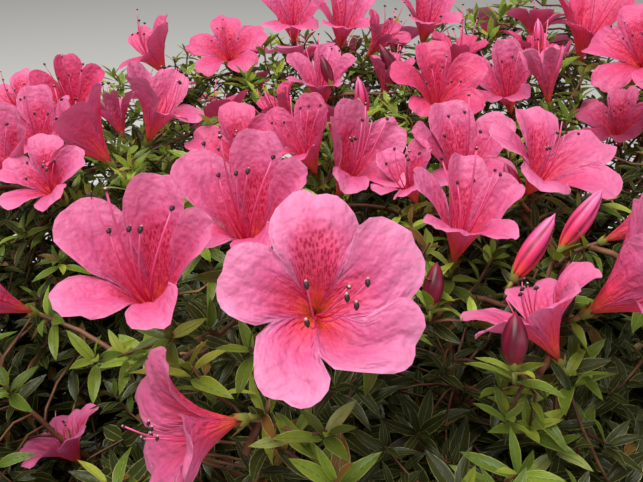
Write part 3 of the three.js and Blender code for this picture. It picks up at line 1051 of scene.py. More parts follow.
def realize(carrier: Object, tree: NodeTree, inputs: dict) -> Object:
    """Runs a geometry tree on a carrier and turns the result into a plain mesh.

    Args:
        carrier: the object whose mesh the tree starts from. It is removed.
        tree: the geometry tree.
        inputs: values for the tree's named inputs.

    Returns:
        A new object with the carrier's name.
    """
    modifier = carrier.modifiers.new("grow", "NODES")
    modifier.node_group = tree
    for item in tree.interface.items_tree:
        if item.item_type == "SOCKET" and item.in_out == "INPUT" and item.name in inputs:
            modifier[item.identifier] = inputs[item.name]
    name = carrier.name
    seen = carrier.evaluated_get(bpy.context.evaluated_depsgraph_get())
    mesh = bpy.data.meshes.new_from_object(seen)
    bare = carrier.data
    bpy.data.objects.remove(carrier)
    bpy.data.meshes.remove(bare)
    mesh.name = name
    mesh.materials.clear()
    mesh.materials.append(inputs["Finish"])
    mesh.polygons.foreach_set("material_index", [0] * len(mesh.polygons))
    return plain_object(name, mesh)


class GrowthTrees:
    """The two geometry trees of the shrub: one sets copies out on points, one turns lines into twigs."""

    def __init__(self) -> None:
        """Builds both trees."""
        self.scatter = self.scatter_tree()
        self.twig = self.twig_tree()

    @staticmethod
    def new_tree(name: str, sockets: Sequence[tuple[str, str]]) -> tuple[NodeTree, Node]:
        """Starts a geometry tree with named inputs.

        Args:
            name: the tree's name.
            sockets: name and kind of each input after the geometry.

        Returns:
            The tree and its input node.
        """
        tree = bpy.data.node_groups.new(name, "GeometryNodeTree")
        tree.interface.new_socket("Geometry", in_out="OUTPUT", socket_type="NodeSocketGeometry")
        tree.interface.new_socket("Geometry", in_out="INPUT", socket_type="NodeSocketGeometry")
        for label, kind in sockets:
            tree.interface.new_socket(label, in_out="INPUT", socket_type="NodeSocket" + kind)
        return tree, add_node(tree, "NodeGroupInput")

    def attribute(self, tree: NodeTree, name: str, data_type: str) -> NodeSocket:
        """Adds a read of a named attribute and gives its value."""
        named = {"Name": name}
        return add_node(tree, "GeometryNodeInputNamedAttribute", named, data_type=data_type).outputs[0]

    def scaled(self, tree: NodeTree, name: str, unit: NodeSocket) -> NodeSocket:
        """Adds a read of a named number and gives it times a unit."""
        product = {0: self.attribute(tree, name, "FLOAT"), 1: unit}
        return add_node(tree, "ShaderNodeMath", product, operation="MULTIPLY").outputs[0]

    def finish(self, tree: NodeTree, geometry: NodeSocket, given: Node) -> None:
        """Ends a tree with real geometry, the material it is given and the output.

        Args:
            tree: the geometry tree.
            geometry: what it has made.
            given: its input node.
        """
        real = add_node(tree, "GeometryNodeRealizeInstances", {"Geometry": geometry})
        dress_with = {"Geometry": real.outputs[0], "Material": given.outputs["Finish"]}
        dressed = add_node(tree, "GeometryNodeSetMaterial", dress_with)
        add_node(tree, "NodeGroupOutput", {0: dressed.outputs[0]})

    def scatter_tree(self) -> NodeTree:
        """Builds the tree that stands a chosen copy on every point.

        Returns:
            The tree. It reads the points' kind, turn and size.
        """
        sockets = (("Copies", "Collection"), ("Unit", "Float"), ("Finish", "Material"))
        tree, given = self.new_tree("set_out", sockets)
        store = {"Collection": given.outputs["Copies"], "Separate Children": True}
        copies = add_node(tree, "GeometryNodeCollectionInfo", store)
        placing = {
            "Points": given.outputs["Geometry"],
            "Instance": copies.outputs[0],
            "Pick Instance": True,
            "Instance Index": self.attribute(tree, "kind", "INT"),
            "Rotation": self.attribute(tree, "turn", "FLOAT_VECTOR"),
            "Scale": self.scaled(tree, "size", given.outputs["Unit"]),
        }
        placed = add_node(tree, "GeometryNodeInstanceOnPoints", placing)
        self.finish(tree, placed.outputs[0], given)
        return tree

    def twig_tree(self) -> NodeTree:
        """Builds the tree that gives every line of a mesh the round section of a twig.

        Returns:
            The tree. It reads the points' girth.
        """
        tree, given = self.new_tree("thicken", (("Sides", "Int"), ("Unit", "Float"), ("Finish", "Material")))
        lines = add_node(tree, "GeometryNodeMeshToCurve", {"Mesh": given.outputs["Geometry"]})
        circle = {"Resolution": given.outputs["Sides"], "Radius": 1.0}
        section = add_node(tree, "GeometryNodeCurvePrimitiveCircle", circle)
        skinning = {
            "Curve": lines.outputs[0],
            "Profile Curve": section.outputs[0],
            "Scale": self.scaled(tree, "girth", given.outputs["Unit"]),
            "Fill Caps": True,
        }
        skin = add_node(tree, "GeometryNodeCurveToMesh", skinning)
        self.finish(tree, skin.outputs[0], given)
        return tree


class Scatter:
    """Copies of some small meshes, each with its place, turn, size and kind."""

    def __init__(self, copies: Sequence[Mesh]) -> None:
        """Starts with the meshes to choose from and no places."""
        self.copies = copies
        self.rows: list[tuple[Vector, Matrix, float, int]] = []

    def add(self, place: Vector, forward: Vector, up: Vector, size: float, kind: int) -> None:
        """Adds a copy.

        Args:
            place: where its origin goes, in millimetres.
            forward: where its +Y points.
            up: roughly where its +Z points.
            size: its scale.
            kind: which of the meshes it is.
        """
        side = forward.cross(up).normalized()
        self.rows.append((place, Matrix((side, forward, side.cross(forward))).transposed(), size, kind))

    def build(self, name: str, tree: NodeTree, finish: Material) -> Object:
        """Sets the copies out as one plain mesh.

        Args:
            name: the piece's name.
            tree: the tree that sets copies out on points.
            finish: the piece's material.

        Returns:
            The piece.
        """
        store = bpy.data.collections.new(name + "_copies")
        bpy.context.scene.collection.children.link(store)
        for i, mesh in enumerate(self.copies):
            store.objects.link(bpy.data.objects.new(f"{name}_copy_{i:03d}", mesh))
        places, turns, sizes, kinds = zip(*self.rows)
        points = bpy.data.meshes.new(name + "_points")
        points.from_pydata([tuple(p * MM) for p in places], [], [])
        eulers = [tuple(turn.to_euler()) for turn in turns]
        for label, kind, key, values in (
            ("turn", "FLOAT_VECTOR", "vector", np.array(eulers, dtype=np.float32).ravel()),
            ("size", "FLOAT", "value", np.array(sizes, dtype=np.float32)),
            ("kind", "INT", "value", np.array(kinds, dtype=np.int32)),
        ):
            points.attributes.new(label, kind, "POINT").data.foreach_set(key, values)
        carrier = plain_object(name, points)
        piece = realize(carrier, tree, {"Copies": store, "Unit": MM, "Finish": finish})
        for copy in list(store.objects):
            bpy.data.objects.remove(copy)
        bpy.data.collections.remove(store)
        piece.data.shade_smooth()
        return piece


@dataclass
class Wood:
    """The short stem and its boughs, as one mesh with the bark's relief."""

    plan: CrownPlan
    finish: WeatheredBark
    foot_radius: float = 27
    neck_radius: float = 19
    head_radius: float = 25
    tip_radius: float = 3.3
    mean_bough_radius: float = 5
    flare_ridges: int = 5
    ridge_depth: float = 0.22
    flare_fall: float = 7
    shoulder_from: float = 0.8
    least_shoulder: float = 0.02
    stem_roughness: float = 1.4
    bough_roughness: float = 0.45
    knuckle: float = 0.5
    wave_length: float = 14
    stem_sides: int = 60
    stem_rings: int = 44
    bough_sides: int = 16
    bough_step: float = 3.5

    @staticmethod
    def rough(turn: np.ndarray, spread: float, along: float, octaves: int) -> np.ndarray:
        """Gives the bark's unevenness round a ring."""
        places = [Vector((spread * math.cos(a), spread * math.sin(a), along)) for a in turn]
        return np.array([noise.fractal(place, 1.0, 2.1, octaves) for place in places])

    @staticmethod
    def bark_map(sides: int, radius: float, along: np.ndarray) -> np.ndarray:
        """Gives the UV places of rings of bark, in metres round the limb and along it."""
        around = np.arange(sides) / sides * 2 * math.pi * radius * MM
        return stacked(around[None, :], along[:, None] * MM)

    def stem(self, parts: MeshParts) -> None:
        """Adds the stem: flared and ridged at its foot, leaning, rounded off where the boughs leave it.

        Args:
            parts: what it is added to.
        """
        plan = self.plan
        shares = np.linspace(0, 1, self.stem_rings)
        turn = 2 * math.pi * np.arange(self.stem_sides) / self.stem_sides
        rings = []
        for share in shares:
            flare = math.exp(-share * self.flare_fall)
            ridges = 1 + self.ridge_depth * flare * np.cos(self.flare_ridges * turn + 0.6)
            swell = (self.head_radius - self.neck_radius) * share**1.6
            past = max(0.0, (share - self.shoulder_from) / 0.2)
            shoulder = max(math.sqrt(max(0.0, 1 - past**2.4)), self.least_shoulder)
            radius = (self.neck_radius + swell + (self.foot_radius - self.neck_radius) * flare) * ridges
            radius = radius + self.stem_roughness * self.rough(turn, 3, share * 3, 5) - 0.6
            lean = share**plan.stem_bend
            x = plan.stem_lean[0] * lean + radius * shoulder * np.cos(turn)
            y = plan.stem_lean[1] * lean + radius * shoulder * np.sin(turn)
            rings.append(np.stack([x, y, np.full(self.stem_sides, share * plan.stem_height)], axis=1))
        uvs = self.bark_map(self.stem_sides, self.neck_radius, shares * plan.stem_height)
        parts.grid(np.stack(rings), uvs, close=True, caps=True)

    def bough(self, parts: MeshParts, mass: Mass, number: int) -> None:
        """Adds the bough of a mass, with shallow ridges and an odd knuckle.

        Args:
            parts: what it is added to.
            mass: the mass that the bough carries.
            number: its place in the row of masses, which makes its bark its own.
        """
        shares = np.linspace(0, 1, max(12, int(mass.bough.length / self.bough_step)))
        turn = 2 * math.pi * np.arange(self.bough_sides) / self.bough_sides
        rings = []
        for share in shares:
            radius = mass.bough_radius + (self.tip_radius - mass.bough_radius) * share
            along = share * mass.bough.length / self.wave_length
            rough = self.bough_roughness * self.rough(turn, 2, along + 9 * number, 4)
            knuckle = self.knuckle * noise.noise(Vector((along * 0.8, number * 3.7, 0.0)))
            rings.append(radius + rough + knuckle - 0.2)
        uvs = self.bark_map(self.bough_sides, self.mean_bough_radius, shares * mass.bough.length)
        parts.grid(sweep(mass.bough.places(shares), rings), uvs, close=True, caps=True)

    def build(self) -> None:
        """Makes the piece and lets it stand for the stem and the boughs."""
        parts = MeshParts()
        self.stem(parts)
        for number, mass in enumerate(self.plan.masses):
            self.bough(parts, mass, number)
        piece = plain_object("stem_and_boughs", parts.mesh("stem_and_boughs"))
        piece.data.materials.append(self.finish.material())
        nodes = ["stem", *(f"bough_{mass.name}" for mass in self.plan.masses)]
        dress(piece, nodes)


def dress(piece: Object, nodes: Sequence[str]) -> None:
    """Lets a piece ride on the plant and stand for nodes.

    Args:
        piece: the finished piece.
        nodes: the nodes that it stands for.
    """
    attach(piece, "root")
    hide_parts(*nodes)
    log.info("%s: %d faces", piece.name, len(piece.data.polygons))


@dataclass
class FineShoot:
    """A thin shoot: its curve, its axis at the tip, how deep in the crown it ends, and if it is leafy."""

    curve: Bezier
    axis: Vector
    depth: float
    leafy: bool = True


@dataclass(frozen=True)
class Round:
    """A round of leafy shoots: how many are tried, how far apart they end as a share of the spacing, the
    least and the greatest depth, how strongly they crowd to the surface, and if they keep to the top.
    """

    tries: int
    apart: float
    depths: tuple[float, float]
    crowding: float = 1.0
    on_top: bool = False


@dataclass
class TwigWork:
    """All twigs of the masses: those of the rule, and finer ones that fill the crown out with leaves."""

    plan: CrownPlan
    trees: GrowthTrees
    finish: YoungBark
    top_front: float = -30
    top_height: float = 0.25
    blossom_tries: int = 620
    blossom_gap: float = 46
    bed_gap: float = 38
    open_sight: float = 115
    bed_front: float = 25
    deepest: float = 95
    spacing: float = 13.5
    longest: float = 125
    step: float = 8
    girth_at_tip: float = 0.85
    girth_at_root: float = 1.9
    stem_girth: float = 2.9
    fine_girth: float = 0.65
    rule_sides: int = 6
    fine_sides: int = 3
    lowest: float = 24
    seed: int = 311
    leaf_drop: float = 11
    blossom_radius: float = 27
    far_off: float = 80
    hidden_radius: float = 22
    front_room: float = 32
    round_room: float = 16
    bed_reach: float = 95
    bed_blend: float = 28
    wave_length: float = 22
    fine: list[FineShoot] = field(default_factory=list)
    blossoms: list[Shoot] = field(default_factory=list)
    placed: list[tuple[Vector, float]] = field(default_factory=list)
    roots: list[tuple[Vector, Vector]] = field(default_factory=list)
    tree: kdtree.KDTree | None = None
    # The second and the last round set leaves well inside the crown, dark in tint as painted shade: they
    # stand for its shaded inside and keep the floor from showing through.
    rounds: tuple[Round, ...] = (
        Round(2300, 1.0, (4, 95), 1.7),
        Round(3600, 1.15, (60, 215)),
        Round(2600, 0.85, (-4, 40), 1.2, on_top=True),
        Round(500, 1.2, (45, 130)),
    )

    def leaf_surface(self, x: float, y: float, dome: float) -> float:
        """Gives how high leaves reach at a place in plan.

        Args:
            x: to the right, in millimetres.
            y: to the back, in millimetres.
            dome: how high the dome is there.

        Returns:
            The dome's height, lowered to lie under the placed blossoms.
        """
        total, drop = 1 / self.bed_reach**4, 0.0
        for face, under in self.placed:
            away = (face.x - x) ** 2 + (face.y - y) ** 2 + self.bed_blend**2
            weight = 1 / away**2
            drop += weight * under
            total += weight
        return dome - self.plan.dip_at(x, y) - drop / total

    def crown_height(self, x: float, y: float) -> float:
        """Gives the height of the crown's surface, with its dips, at a place in plan."""
        plan = self.plan
        out = min(1.0, math.hypot(x / plan.half_width, y / plan.half_depth))
        dome = plan.waist + plan.rise * (1 - out**plan.squareness) ** (1 / plan.squareness)
        return dome - plan.dip_at(x, y)

    def root_places(self) -> list[tuple[Vector, Vector]]:
        """Gives places along the rule's twigs.

        Returns:
            Each place with the direction of its twig there.
        """
        roots = []
        for mass in self.plan.masses:
            for twig in mass.twigs:
                shares = np.linspace(0.15, 0.95, max(3, int(twig.curve.length / 9)))
                points = [Vector(p) for p in twig.curve.places(shares)]
                roots += [(a, (b - a).normalized()) for a, b in zip(points, points[1:])]
        return roots

    def grow_fine(self) -> None:
        """Grows the finer shoots, each from the nearest stretch of a twig that is already there."""
        random = SeededRandom(self.seed)
        self.blossoms = [s for s in self.plan.shoots if s.growth is Growth.BLOSSOM]
        for face in (s.face for s in self.blossoms if s.placed):
            drop = self.leaf_drop * (1 - float(smooth((face.y + 80) / 160)))
            self.placed.append((face, self.crown_height(face.x, face.y) - face.z + drop))
        self.roots = self.root_places()
        self.tree = point_tree([place for place, _ in self.roots])
        self.grow_blossoms(random)
        for batch in self.rounds:
            self.grow_leafy(random, batch)

    def branch_to(self, point: Vector, axis: Vector) -> Bezier | None:
        """Draws a shoot to a point from the nearest twig, or nothing where that is too far away.

        Args:
            point: where the shoot ends.
            axis: where its end points.

        Returns:
            The curve.
        """
        _, index, distance = self.tree.find(point - axis * 14)
        if distance > self.longest:
            return None
        start, along = self.roots[index]
        span = (start - point).length
        leave = ((point - start).normalized() + along * 0.7).normalized()
        return Bezier(start, start + leave * span * 0.35, point - axis * span * 0.35, point)

    def grow_blossoms(self, random: SeededRandom) -> None:
        """Adds the blossoms that the source leaves out, where the flanks and the back have room for them.

        Args:
            random: the row of numbers.
        """
        plan = self.plan
        for i in range(self.blossom_tries):
            height = 1 - (1 + plan.skirt) * ((i + 0.5) / self.blossom_tries) ** 1.1
            point, outward = plan.dome_at(i * GOLDEN_ANGLE + 0.4 * random.draw(), height)
            pull, size, tilt, tilt_to, opening = (random.draw() for _ in range(5))
            point.x *= 0.92 + 0.05 * pull
            point.y *= 0.92 + 0.05 * pull
            in_bed = height > 0 and plan.in_bed(point)
            if height > 0:
                point.z = self.leaf_surface(point.x, point.y, point.z) - 10 * pull
            near = min((s.face - point).length for s in self.blossoms)
            gap = self.bed_gap if in_bed else self.blossom_gap * (0.9 + 0.35 * size)
            if near < gap or (in_bed and point.y < self.bed_front):
                continue
            axis = (outward + UP * 0.4 + heading(2 * math.pi * tilt_to, 0.2) * 0.7 * tilt).normalized()
            opened = list(Opening)[int(3.99 * opening)]
            shoot = Shoot(Growth.BLOSSOM, point, axis, 0.72 + 0.22 * size, opening=opened)
            shoot.tip = point - axis * plan.blossom_depth * shoot.size
            curve = self.branch_to(shoot.tip, axis)
            if curve:
                self.blossoms.append(shoot)
                self.fine.append(FineShoot(curve, axis, 14, leafy=False))

    def grow_leafy(self, random: SeededRandom, batch: Round) -> None:
        """Adds leafy shoots that end at some depths below the crown's surface.

        Args:
            random: the row of numbers.
            batch: how many are tried, and where they may end.
        """
        plan = self.plan
        spacing = self.spacing * batch.apart
        least, greatest = batch.depths
        tips: list[Vector] = []
        for i in range(batch.tries):
            height = 1 - (1 + plan.skirt + 0.1) * ((i + 0.5) / batch.tries) ** 1.12
            point, outward = plan.dome_at(i * GOLDEN_ANGLE + 0.3 * random.draw(), height)
            depth = least + (greatest - least) * random.draw() ** batch.crowding
            pull, tilt, tilt_to = random.draw(), random.draw(), random.draw()
            if batch.on_top and (height < self.top_height or point.y < self.top_front):
                continue
            point.x *= 0.92 + 0.07 * pull
            point.y *= 0.92 + 0.07 * pull
            if height > 0:
                point.z = self.leaf_surface(point.x, point.y, point.z)
            point -= outward * depth
            point.z = max(point.z, self.lowest)
            axis = (outward * 0.8 + UP * 0.6 + heading(2 * math.pi * tilt_to, 0.15) * tilt).normalized()
            if any((tip - point).length_squared < spacing**2 for tip in tips):
                continue
            if any(self.blocks(blossom, point) for blossom in self.blossoms):
                continue
            curve = self.branch_to(point, axis)
            if not curve:
                continue
            middle = [Vector(p) for p in curve.places([0.45, 0.75])]
            if any(self.blocks(blossom, place) for blossom in self.blossoms for place in middle):
                continue
            tips.append(point)
            self.fine.append(FineShoot(curve, axis, depth))

    def blocks(self, blossom: Shoot, point: Vector) -> bool:
        """Finds whether a place is inside a blossom, right in front of it, or in the camera's view of it.

        Args:
            blossom: the blossom.
            point: the place.

        Returns:
            Whether it is.
        """
        if blossom.placed:
            sight = (EYE - blossom.face).normalized()
            away = point - blossom.face
            before = away.dot(sight)
            aside = (away - sight * before).length
            if 5 < before < self.open_sight and aside < self.hidden_radius * blossom.size:
                return True
        away = point - blossom.tip
        if away.length_squared > self.far_off**2:
            return False
        along = away.dot(blossom.axis)
        across = (away - blossom.axis * along).length
        depth, radius = self.plan.blossom_depth * blossom.size, self.blossom_radius * blossom.size
        if along < 4 or along > depth + (self.front_room if blossom.placed else self.round_room):
            return False
        return across < (radius * along / depth + 2 if along < depth else radius * 0.85)

    def line(self, lines: list, curve: Bezier, root: float, tip: float, wobble: float, seed: float) -> None:
        """Adds a line along a curve.

        Args:
            lines: what it is added to, as points and girths.
            curve: its middle.
            root: its girth at its root.
            tip: its girth at its tip.
            wobble: how far it strays between them.
            seed: how far apart the noise for each direction is read.
        """
        steps = max(4, int(curve.length / self.step))
        shares = np.linspace(0, 1, steps)
        points = curve.places(shares)
        shifts = [Vector(row) for row in np.eye(3) * seed]
        stray = np.array([[noise.noise(Vector(p) / self.wave_length + s) for s in shifts] for p in points])
        points += stray * (wobble * np.sin(math.pi * shares))[:, None]
        lines.append((points, root + (tip - root) * shares))

    def build(self) -> None:
        """Makes a piece of the rule's twigs and one of the finer shoots, which stand for the masses."""
        finish = self.finish.material()
        lines: list[tuple[np.ndarray, np.ndarray]] = []
        for mass in self.plan.masses:
            self.line(lines, mass.stem, self.stem_girth + 0.3, self.stem_girth * 0.8, 0, 0)
            for twig in mass.twigs:
                root = min(self.girth_at_root, 1.1 + twig.curve.length / 150)
                self.line(lines, twig.curve, root, self.girth_at_tip, 3.0, 2.0)
        self.piece("twigs", lines, self.rule_sides, finish)
        lines = []
        for shoot in self.fine:
            self.line(lines, shoot.curve, self.fine_girth + 0.25, self.fine_girth, 2.0, 5.0)
        self.piece("fine_twigs", lines, self.fine_sides, finish)

    def piece(self, name: str, lines: list, sides: int, finish: Material) -> None:
        """Turns lines into one piece of round twigs.

        Args:
            name: the piece's name.
            lines: points and girths of each line.
            sides: how many sides a twig has.
            finish: the piece's material.
        """
        counts = [len(points) for points, _ in lines]
        starts = np.concatenate([[0], np.cumsum(counts)])[:-1]
        edges = [(int(s) + i, int(s) + i + 1) for s, n in zip(starts, counts) for i in range(n - 1)]
        mesh = bpy.data.meshes.new(name)
        mesh.from_pydata((np.concatenate([p for p, _ in lines]) * MM).tolist(), edges, [])
        girth = mesh.attributes.new("girth", "FLOAT", "POINT")
        girth.data.foreach_set("value", np.concatenate([g for _, g in lines]).astype(np.float32))
        carrier = plain_object(name, mesh)
        piece = realize(carrier, self.trees.twig, {"Sides": sides, "Unit": MM, "Finish": finish})
        piece.data.shade_smooth()
        dress(piece, self.plan.foliage)


@dataclass
class BlossomWork:
    """The open blossoms: corollas of five lobes, stamens, pistils and sepals."""

    plan: CrownPlan
    trees: GrowthTrees
    blossoms: list[Shoot]
    petal: PetalFlesh
    filament: Filament
    pollen: PollenCase
    sepal: SepalSkin
    cleft: float = 0.5
    roundness: float = 2.6
    split: float = 0.46
    lobe_turn: float = math.radians(72)
    shapes: int = 4
    near_grid: tuple[int, int] = (17, 25)
    far_grid: tuple[int, int] = (8, 10)
    long_stamens: float = 1.3
    hero_spread: float = 0.1
    # Blossoms in front of this line take only the palest tints: partly paler blossoms at the front, partly
    # painted light on front blossoms that sit in shade.
    pale_lit_front: float = -90
    pale_bias: float = 1.7
    lobe_half: float = 36
    profile_steps: int = 120
    bud_cup: float = 0.1
    seed: int = 77

    # The corolla's profile from its foot to the tip of a lobe: radius and height of its control points.
    PROFILES = {
        WIDE: ((0, 0), (3.4, 8), (8, 19), (19, 27), (31, 20)),
        OPEN: ((0, 0), (3.4, 8), (8, 20), (17, 30), (30, 28)),
        FUNNEL: ((0, 0), (3.4, 8), (6, 20), (11, 30), (20, 36)),
        GAPING: ((0, 0), (3.4, 8), (8, 20), (15, 32), (26, 41)),
    }
    # How far the tips of the five lobes lean in where the blossom is seen into, how much longer and how much
    # broader each is, from the upper one on anticlockwise.
    GAPING_LOBES = ((3, 0.0, 8), (1, -0.04, 7), (-12, -0.34, -3), (-12, -0.34, -3), (1, -0.04, 7))
    # The nearest blossom's lobes: how far each is turned, in degrees, and how much longer it is.
    HERO_LOBES = ((0, 0.0), (-2, -0.24), (16, -0.26), (31, -0.18), (14, -0.04))
    # Where the ends of its five stamens and its pistil are: right, up and out of its throat.
    HERO_ENDS = (
        *((-3.0, 2.0, 36), (-3.0, -7.1, 33), (7.1, -1.1, 35)),
        *((9.5, -3.0, 34), (12.6, 2.9, 34), (7.6, 1.4, 36)),
    )

    def profile(self, opening: Opening, spread: float) -> tuple[np.ndarray, np.ndarray]:
        """Draws the corolla's profile from the foot of its tube to the tip of a lobe.

        Args:
            opening: how far it has opened.
            spread: how much wider than usual it is, as a share.

        Returns:
            Radius and height, in even steps along the profile.
        """
        controls = np.array(self.PROFILES[opening]) * (1 + spread, 1 - spread)
        t = np.linspace(0, 1, self.profile_steps)[:, None]
        curve = sum(math.comb(4, k) * t**k * (1 - t) ** (4 - k) * controls[k] for k in range(5))
        lengths = np.concatenate([[0], np.cumsum(np.linalg.norm(np.diff(curve, axis=0), axis=1))])
        even = np.linspace(0, lengths[-1], self.profile_steps)
        return np.interp(even, lengths, curve[:, 0]), np.interp(even, lengths, curve[:, 1])

    def corolla(self, opening: Opening, number: int, tint: int, grid: tuple[int, int]) -> Mesh:
        """Makes one corolla with its foot at the origin and its upper lobe towards +Y; it opens along +Z.

        Args:
            opening: how far it has opened.
            number: which of its shapes, for the ruffles.
            tint: the row of its colours.
            grid: columns and rows of points on each lobe.

        Returns:
            The mesh, in millimetres as if they were metres, so that a copy is scaled by its size.
        """
        random = SeededRandom(self.seed + 31 * number + 7 * opening.value)
        hero = opening is WIDE and number == 0
        spread = self.hero_spread if hero else random.between(-0.05, 0.05)
        radius_of, height_of = self.profile(opening, spread)
        slope_r, slope_z = np.gradient(radius_of), np.gradient(height_of)
        steepness = np.hypot(slope_r, slope_z)
        share = np.linspace(0, 1, len(radius_of))
        across, out = np.meshgrid(np.linspace(-1, 1, grid[0]), np.linspace(0, 1, grid[1]), indexing="ij")
        parts = MeshParts()
        for lobe in range(5):
            notch, length = random.between(0.01, 0.045), random.between(-0.05, 0.05)
            breadth, turn = random.between(4, 10), random.between(-4, 4)
            phases = [random.between(0, 2 * math.pi) for _ in range(4)]
            lean, curl = random.between(-3, 3), random.between(-3.2, 1.4)
            if opening is GAPING:
                add_lean, add_length, add_breadth = self.GAPING_LOBES[lobe]
                lean, length, breadth = lean + add_lean, length + add_length, breadth + add_breadth
            if hero:
                turn, length = self.HERO_LOBES[lobe]
            rim = 1 - (1 - self.cleft) * np.abs(across) ** self.roundness
            rim = rim - notch * np.exp(-((across / 0.14) ** 2))
            reach = out * rim
            free = np.clip(reach - self.split, 0, None)
            reach = reach + length * free
            loose = smooth(free / 0.24)
            angle = across * np.radians(self.lobe_half + breadth * loose)
            angle = angle + math.radians(turn) * smooth(free / 0.4)
            angle = angle + math.pi / 2 + lobe * self.lobe_turn
            radius, height = np.interp(reach, share, radius_of), np.interp(reach, share, height_of)
            inward = -np.interp(reach, share, slope_z / steepness)
            upward = np.interp(reach, share, slope_r / steepness)
            wave = 1.3 * np.sin(3.1 * across + phases[0]) + 1.0 * np.sin(5.7 * across + 3 * out + phases[1])
            frill = 0.7 * np.sin(11 * across + phases[2]) + 0.35 * np.sin(19 * across + phases[3])
            loosened = free / (1 - self.split)
            lift = loose * (1.5 * across + lean * loosened**1.4 + curl * across**2 * out**2)
            lift = lift + loose * wave * out**2 + frill * out**6
            lift = lift - 0.9 * np.exp(-((across / 0.11) ** 2)) * smooth((reach - 0.3) / 0.3)
            lift = lift + 0.45 * loose * np.cos(9 * across) * (1 - out)
            radius, height = radius + lift * inward, height + lift * upward
            column = (lobe + 0.04 + 0.92 * (across + 1) / 2) / 5
            row = (tint + 0.02 + 0.96 * out) / self.petal.tints
            parts.grid(stacked(radius * np.cos(angle), radius * np.sin(angle), height), stacked(column, row))
        return parts.mesh("corolla", merge=0.01, scale=1.0)

    def thread(self, end: Sequence[float], sag: float) -> np.ndarray:
        """Draws a stamen or pistil from the throat to its end, hanging a little low between them."""
        t = np.linspace(0, 1, 8)
        y = end[1] * t**2 - sag * np.sin(math.pi * t)
        return np.stack([end[0] * t**1.6, y, 3 + (end[2] - 3) * t], axis=1)

    def stamens(self, number: int) -> tuple[Mesh, Mesh]:
        """Makes the five stamens and the pistil of a blossom.

        Args:
            number: which of the shapes.

        Returns:
            The threads, and the anthers with the stigma.
        """
        random = SeededRandom(self.seed + 977 * number)
        threads, cases = MeshParts(), MeshParts()
        for k in range(6):
            pistil = k == 5
            length = random.between(40, 45) if pistil else random.between(29, 38)
            side = random.between(-3, 3) if pistil else (k - 2) * random.between(3.5, 6.5)
            end = (side, random.between(-4, 8), length) if number else self.HERO_ENDS[k]
            path = self.thread(end, random.between(2, 5))
            threads.tube(path, np.linspace(0.4, 0.3 if pistil else 0.24, len(path)), 4)
            end = path[-1] - path[-2]
            end /= np.linalg.norm(end)
            across = np.cross(end, [1.0, 0.2, 0.1])
            aim = end if pistil else end * 0.4 + across / np.linalg.norm(across)
            aim /= np.linalg.norm(aim)
            half = 0.5 if pistil else (1.0 if number else 1.3)
            body = path[-1] + aim * np.linspace(-half, half, 4)[:, None]
            cases.tube(body, np.array([0.3, 1.0, 0.88, 0.3]) * (0.62 if number else 0.8), 5)
        return threads.mesh("threads", scale=1.0), cases.mesh("cases", scale=1.0)

    def sepals(self, number: int) -> Mesh:
        """Makes the small cup of sepals and the stalk under a blossom.

        Args:
            number: which of the shapes.

        Returns:
            The mesh.
        """
        random = SeededRandom(self.seed + 51 * number)
        parts = MeshParts()
        parts.tube(np.array([[0, 0, -7.0], [0, 0, -3.5], [0, 0, 0.6]]), np.array([1.0, 1.1, 1.2]), 6)
        for k in range(6):
            turn = k * math.pi / 3 + random.between(-0.2, 0.2)
            long, open_by = random.between(5, 8.5), random.between(0.12, 0.4)
            along = np.linspace(0, 1, 4)[:, None]
            wide = np.array([-1.0, 0.0, 1.0])[None, :]
            half = 1.6 * np.sin(math.pi * (0.18 + 0.8 * along))
            radius = 1.7 + long * along * open_by + 0.3 * (1 - wide**2)
            angle = turn + wide * half / (1.7 + long * along * open_by)
            height = -1.5 + long * along * (1 - open_by * 0.4) + 0 * wide
            points = stacked(radius * np.cos(angle), radius * np.sin(angle), height)
            parts.grid(points, stacked((wide + 1) / 2, along))
        return parts.mesh("sepals", scale=1.0)

    def build(self) -> None:
        """Makes the pieces of all blossoms and lets them stand for the masses."""
        random = SeededRandom(self.seed)
        numbers, tints = range(self.shapes), range(self.petal.tints)
        choices = [(opening, number, tint) for opening in Opening for number in numbers for tint in tints]
        sets = {}
        for near, grid in ((True, self.near_grid), (False, self.far_grid)):
            sets[near] = Scatter([self.corolla(*choice, grid) for choice in choices])
        threads, cases = (Scatter(meshes) for meshes in zip(*(self.stamens(number) for number in numbers)))
        sepals = Scatter([self.sepals(number) for number in numbers])
        hero = min(self.blossoms, key=lambda s: (s.face - EYE).length)
        for shoot in self.blossoms:
            upper = UP + Vector((0, 0.35, 0)) + heading(2 * math.pi * random.draw(), 0) * 0.12
            upper = (upper - shoot.axis * upper.dot(shoot.axis)).normalized()
            number = random.pick(self.shapes)
            tint = 1 + int(random.draw() ** self.pale_bias * (len(tints) - 1) * BELOW_ONE)
            if shoot is hero:
                number, tint = 0, 0
            elif shoot.face.y < self.pale_lit_front:
                # Partly painted light: a front blossom takes a paler tint.
                tint = min(tint, 1)
            stand = (shoot.tip, upper, shoot.axis)
            sets[shoot.placed].add(*stand, shoot.size, choices.index((shoot.opening, number, tint)))
            sepals.add(*stand, shoot.size, number)
            deep = shoot.opening in (FUNNEL, GAPING)
            for scatter in (threads, cases):
                scatter.add(*stand, shoot.size * (self.long_stamens if deep else 1), number)
        for shoot in (s for s in self.plan.shoots if s.growth is Growth.BUD):
            upper = shoot.axis.orthogonal().normalized()
            number = int(3.99 * random.draw())
            sepals.add(shoot.tip - shoot.axis, upper, shoot.axis, shoot.width * self.bud_cup, number)
        petal, stamen = self.petal.material(), "stamen"
        for scatter, name, finish, slot in (
            (sets[True], "petals_front", petal, "petal"),
            (sets[False], "petals_round", petal, "petal"),
            (threads, "stamens", self.filament.material(), stamen),
            (cases, "anthers", self.pollen.material(), stamen),
            (sepals, "sepals", self.sepal.material(), "leaf"),
        ):
            dress(scatter.build(name, self.trees.scatter, finish), self.plan.foliage)


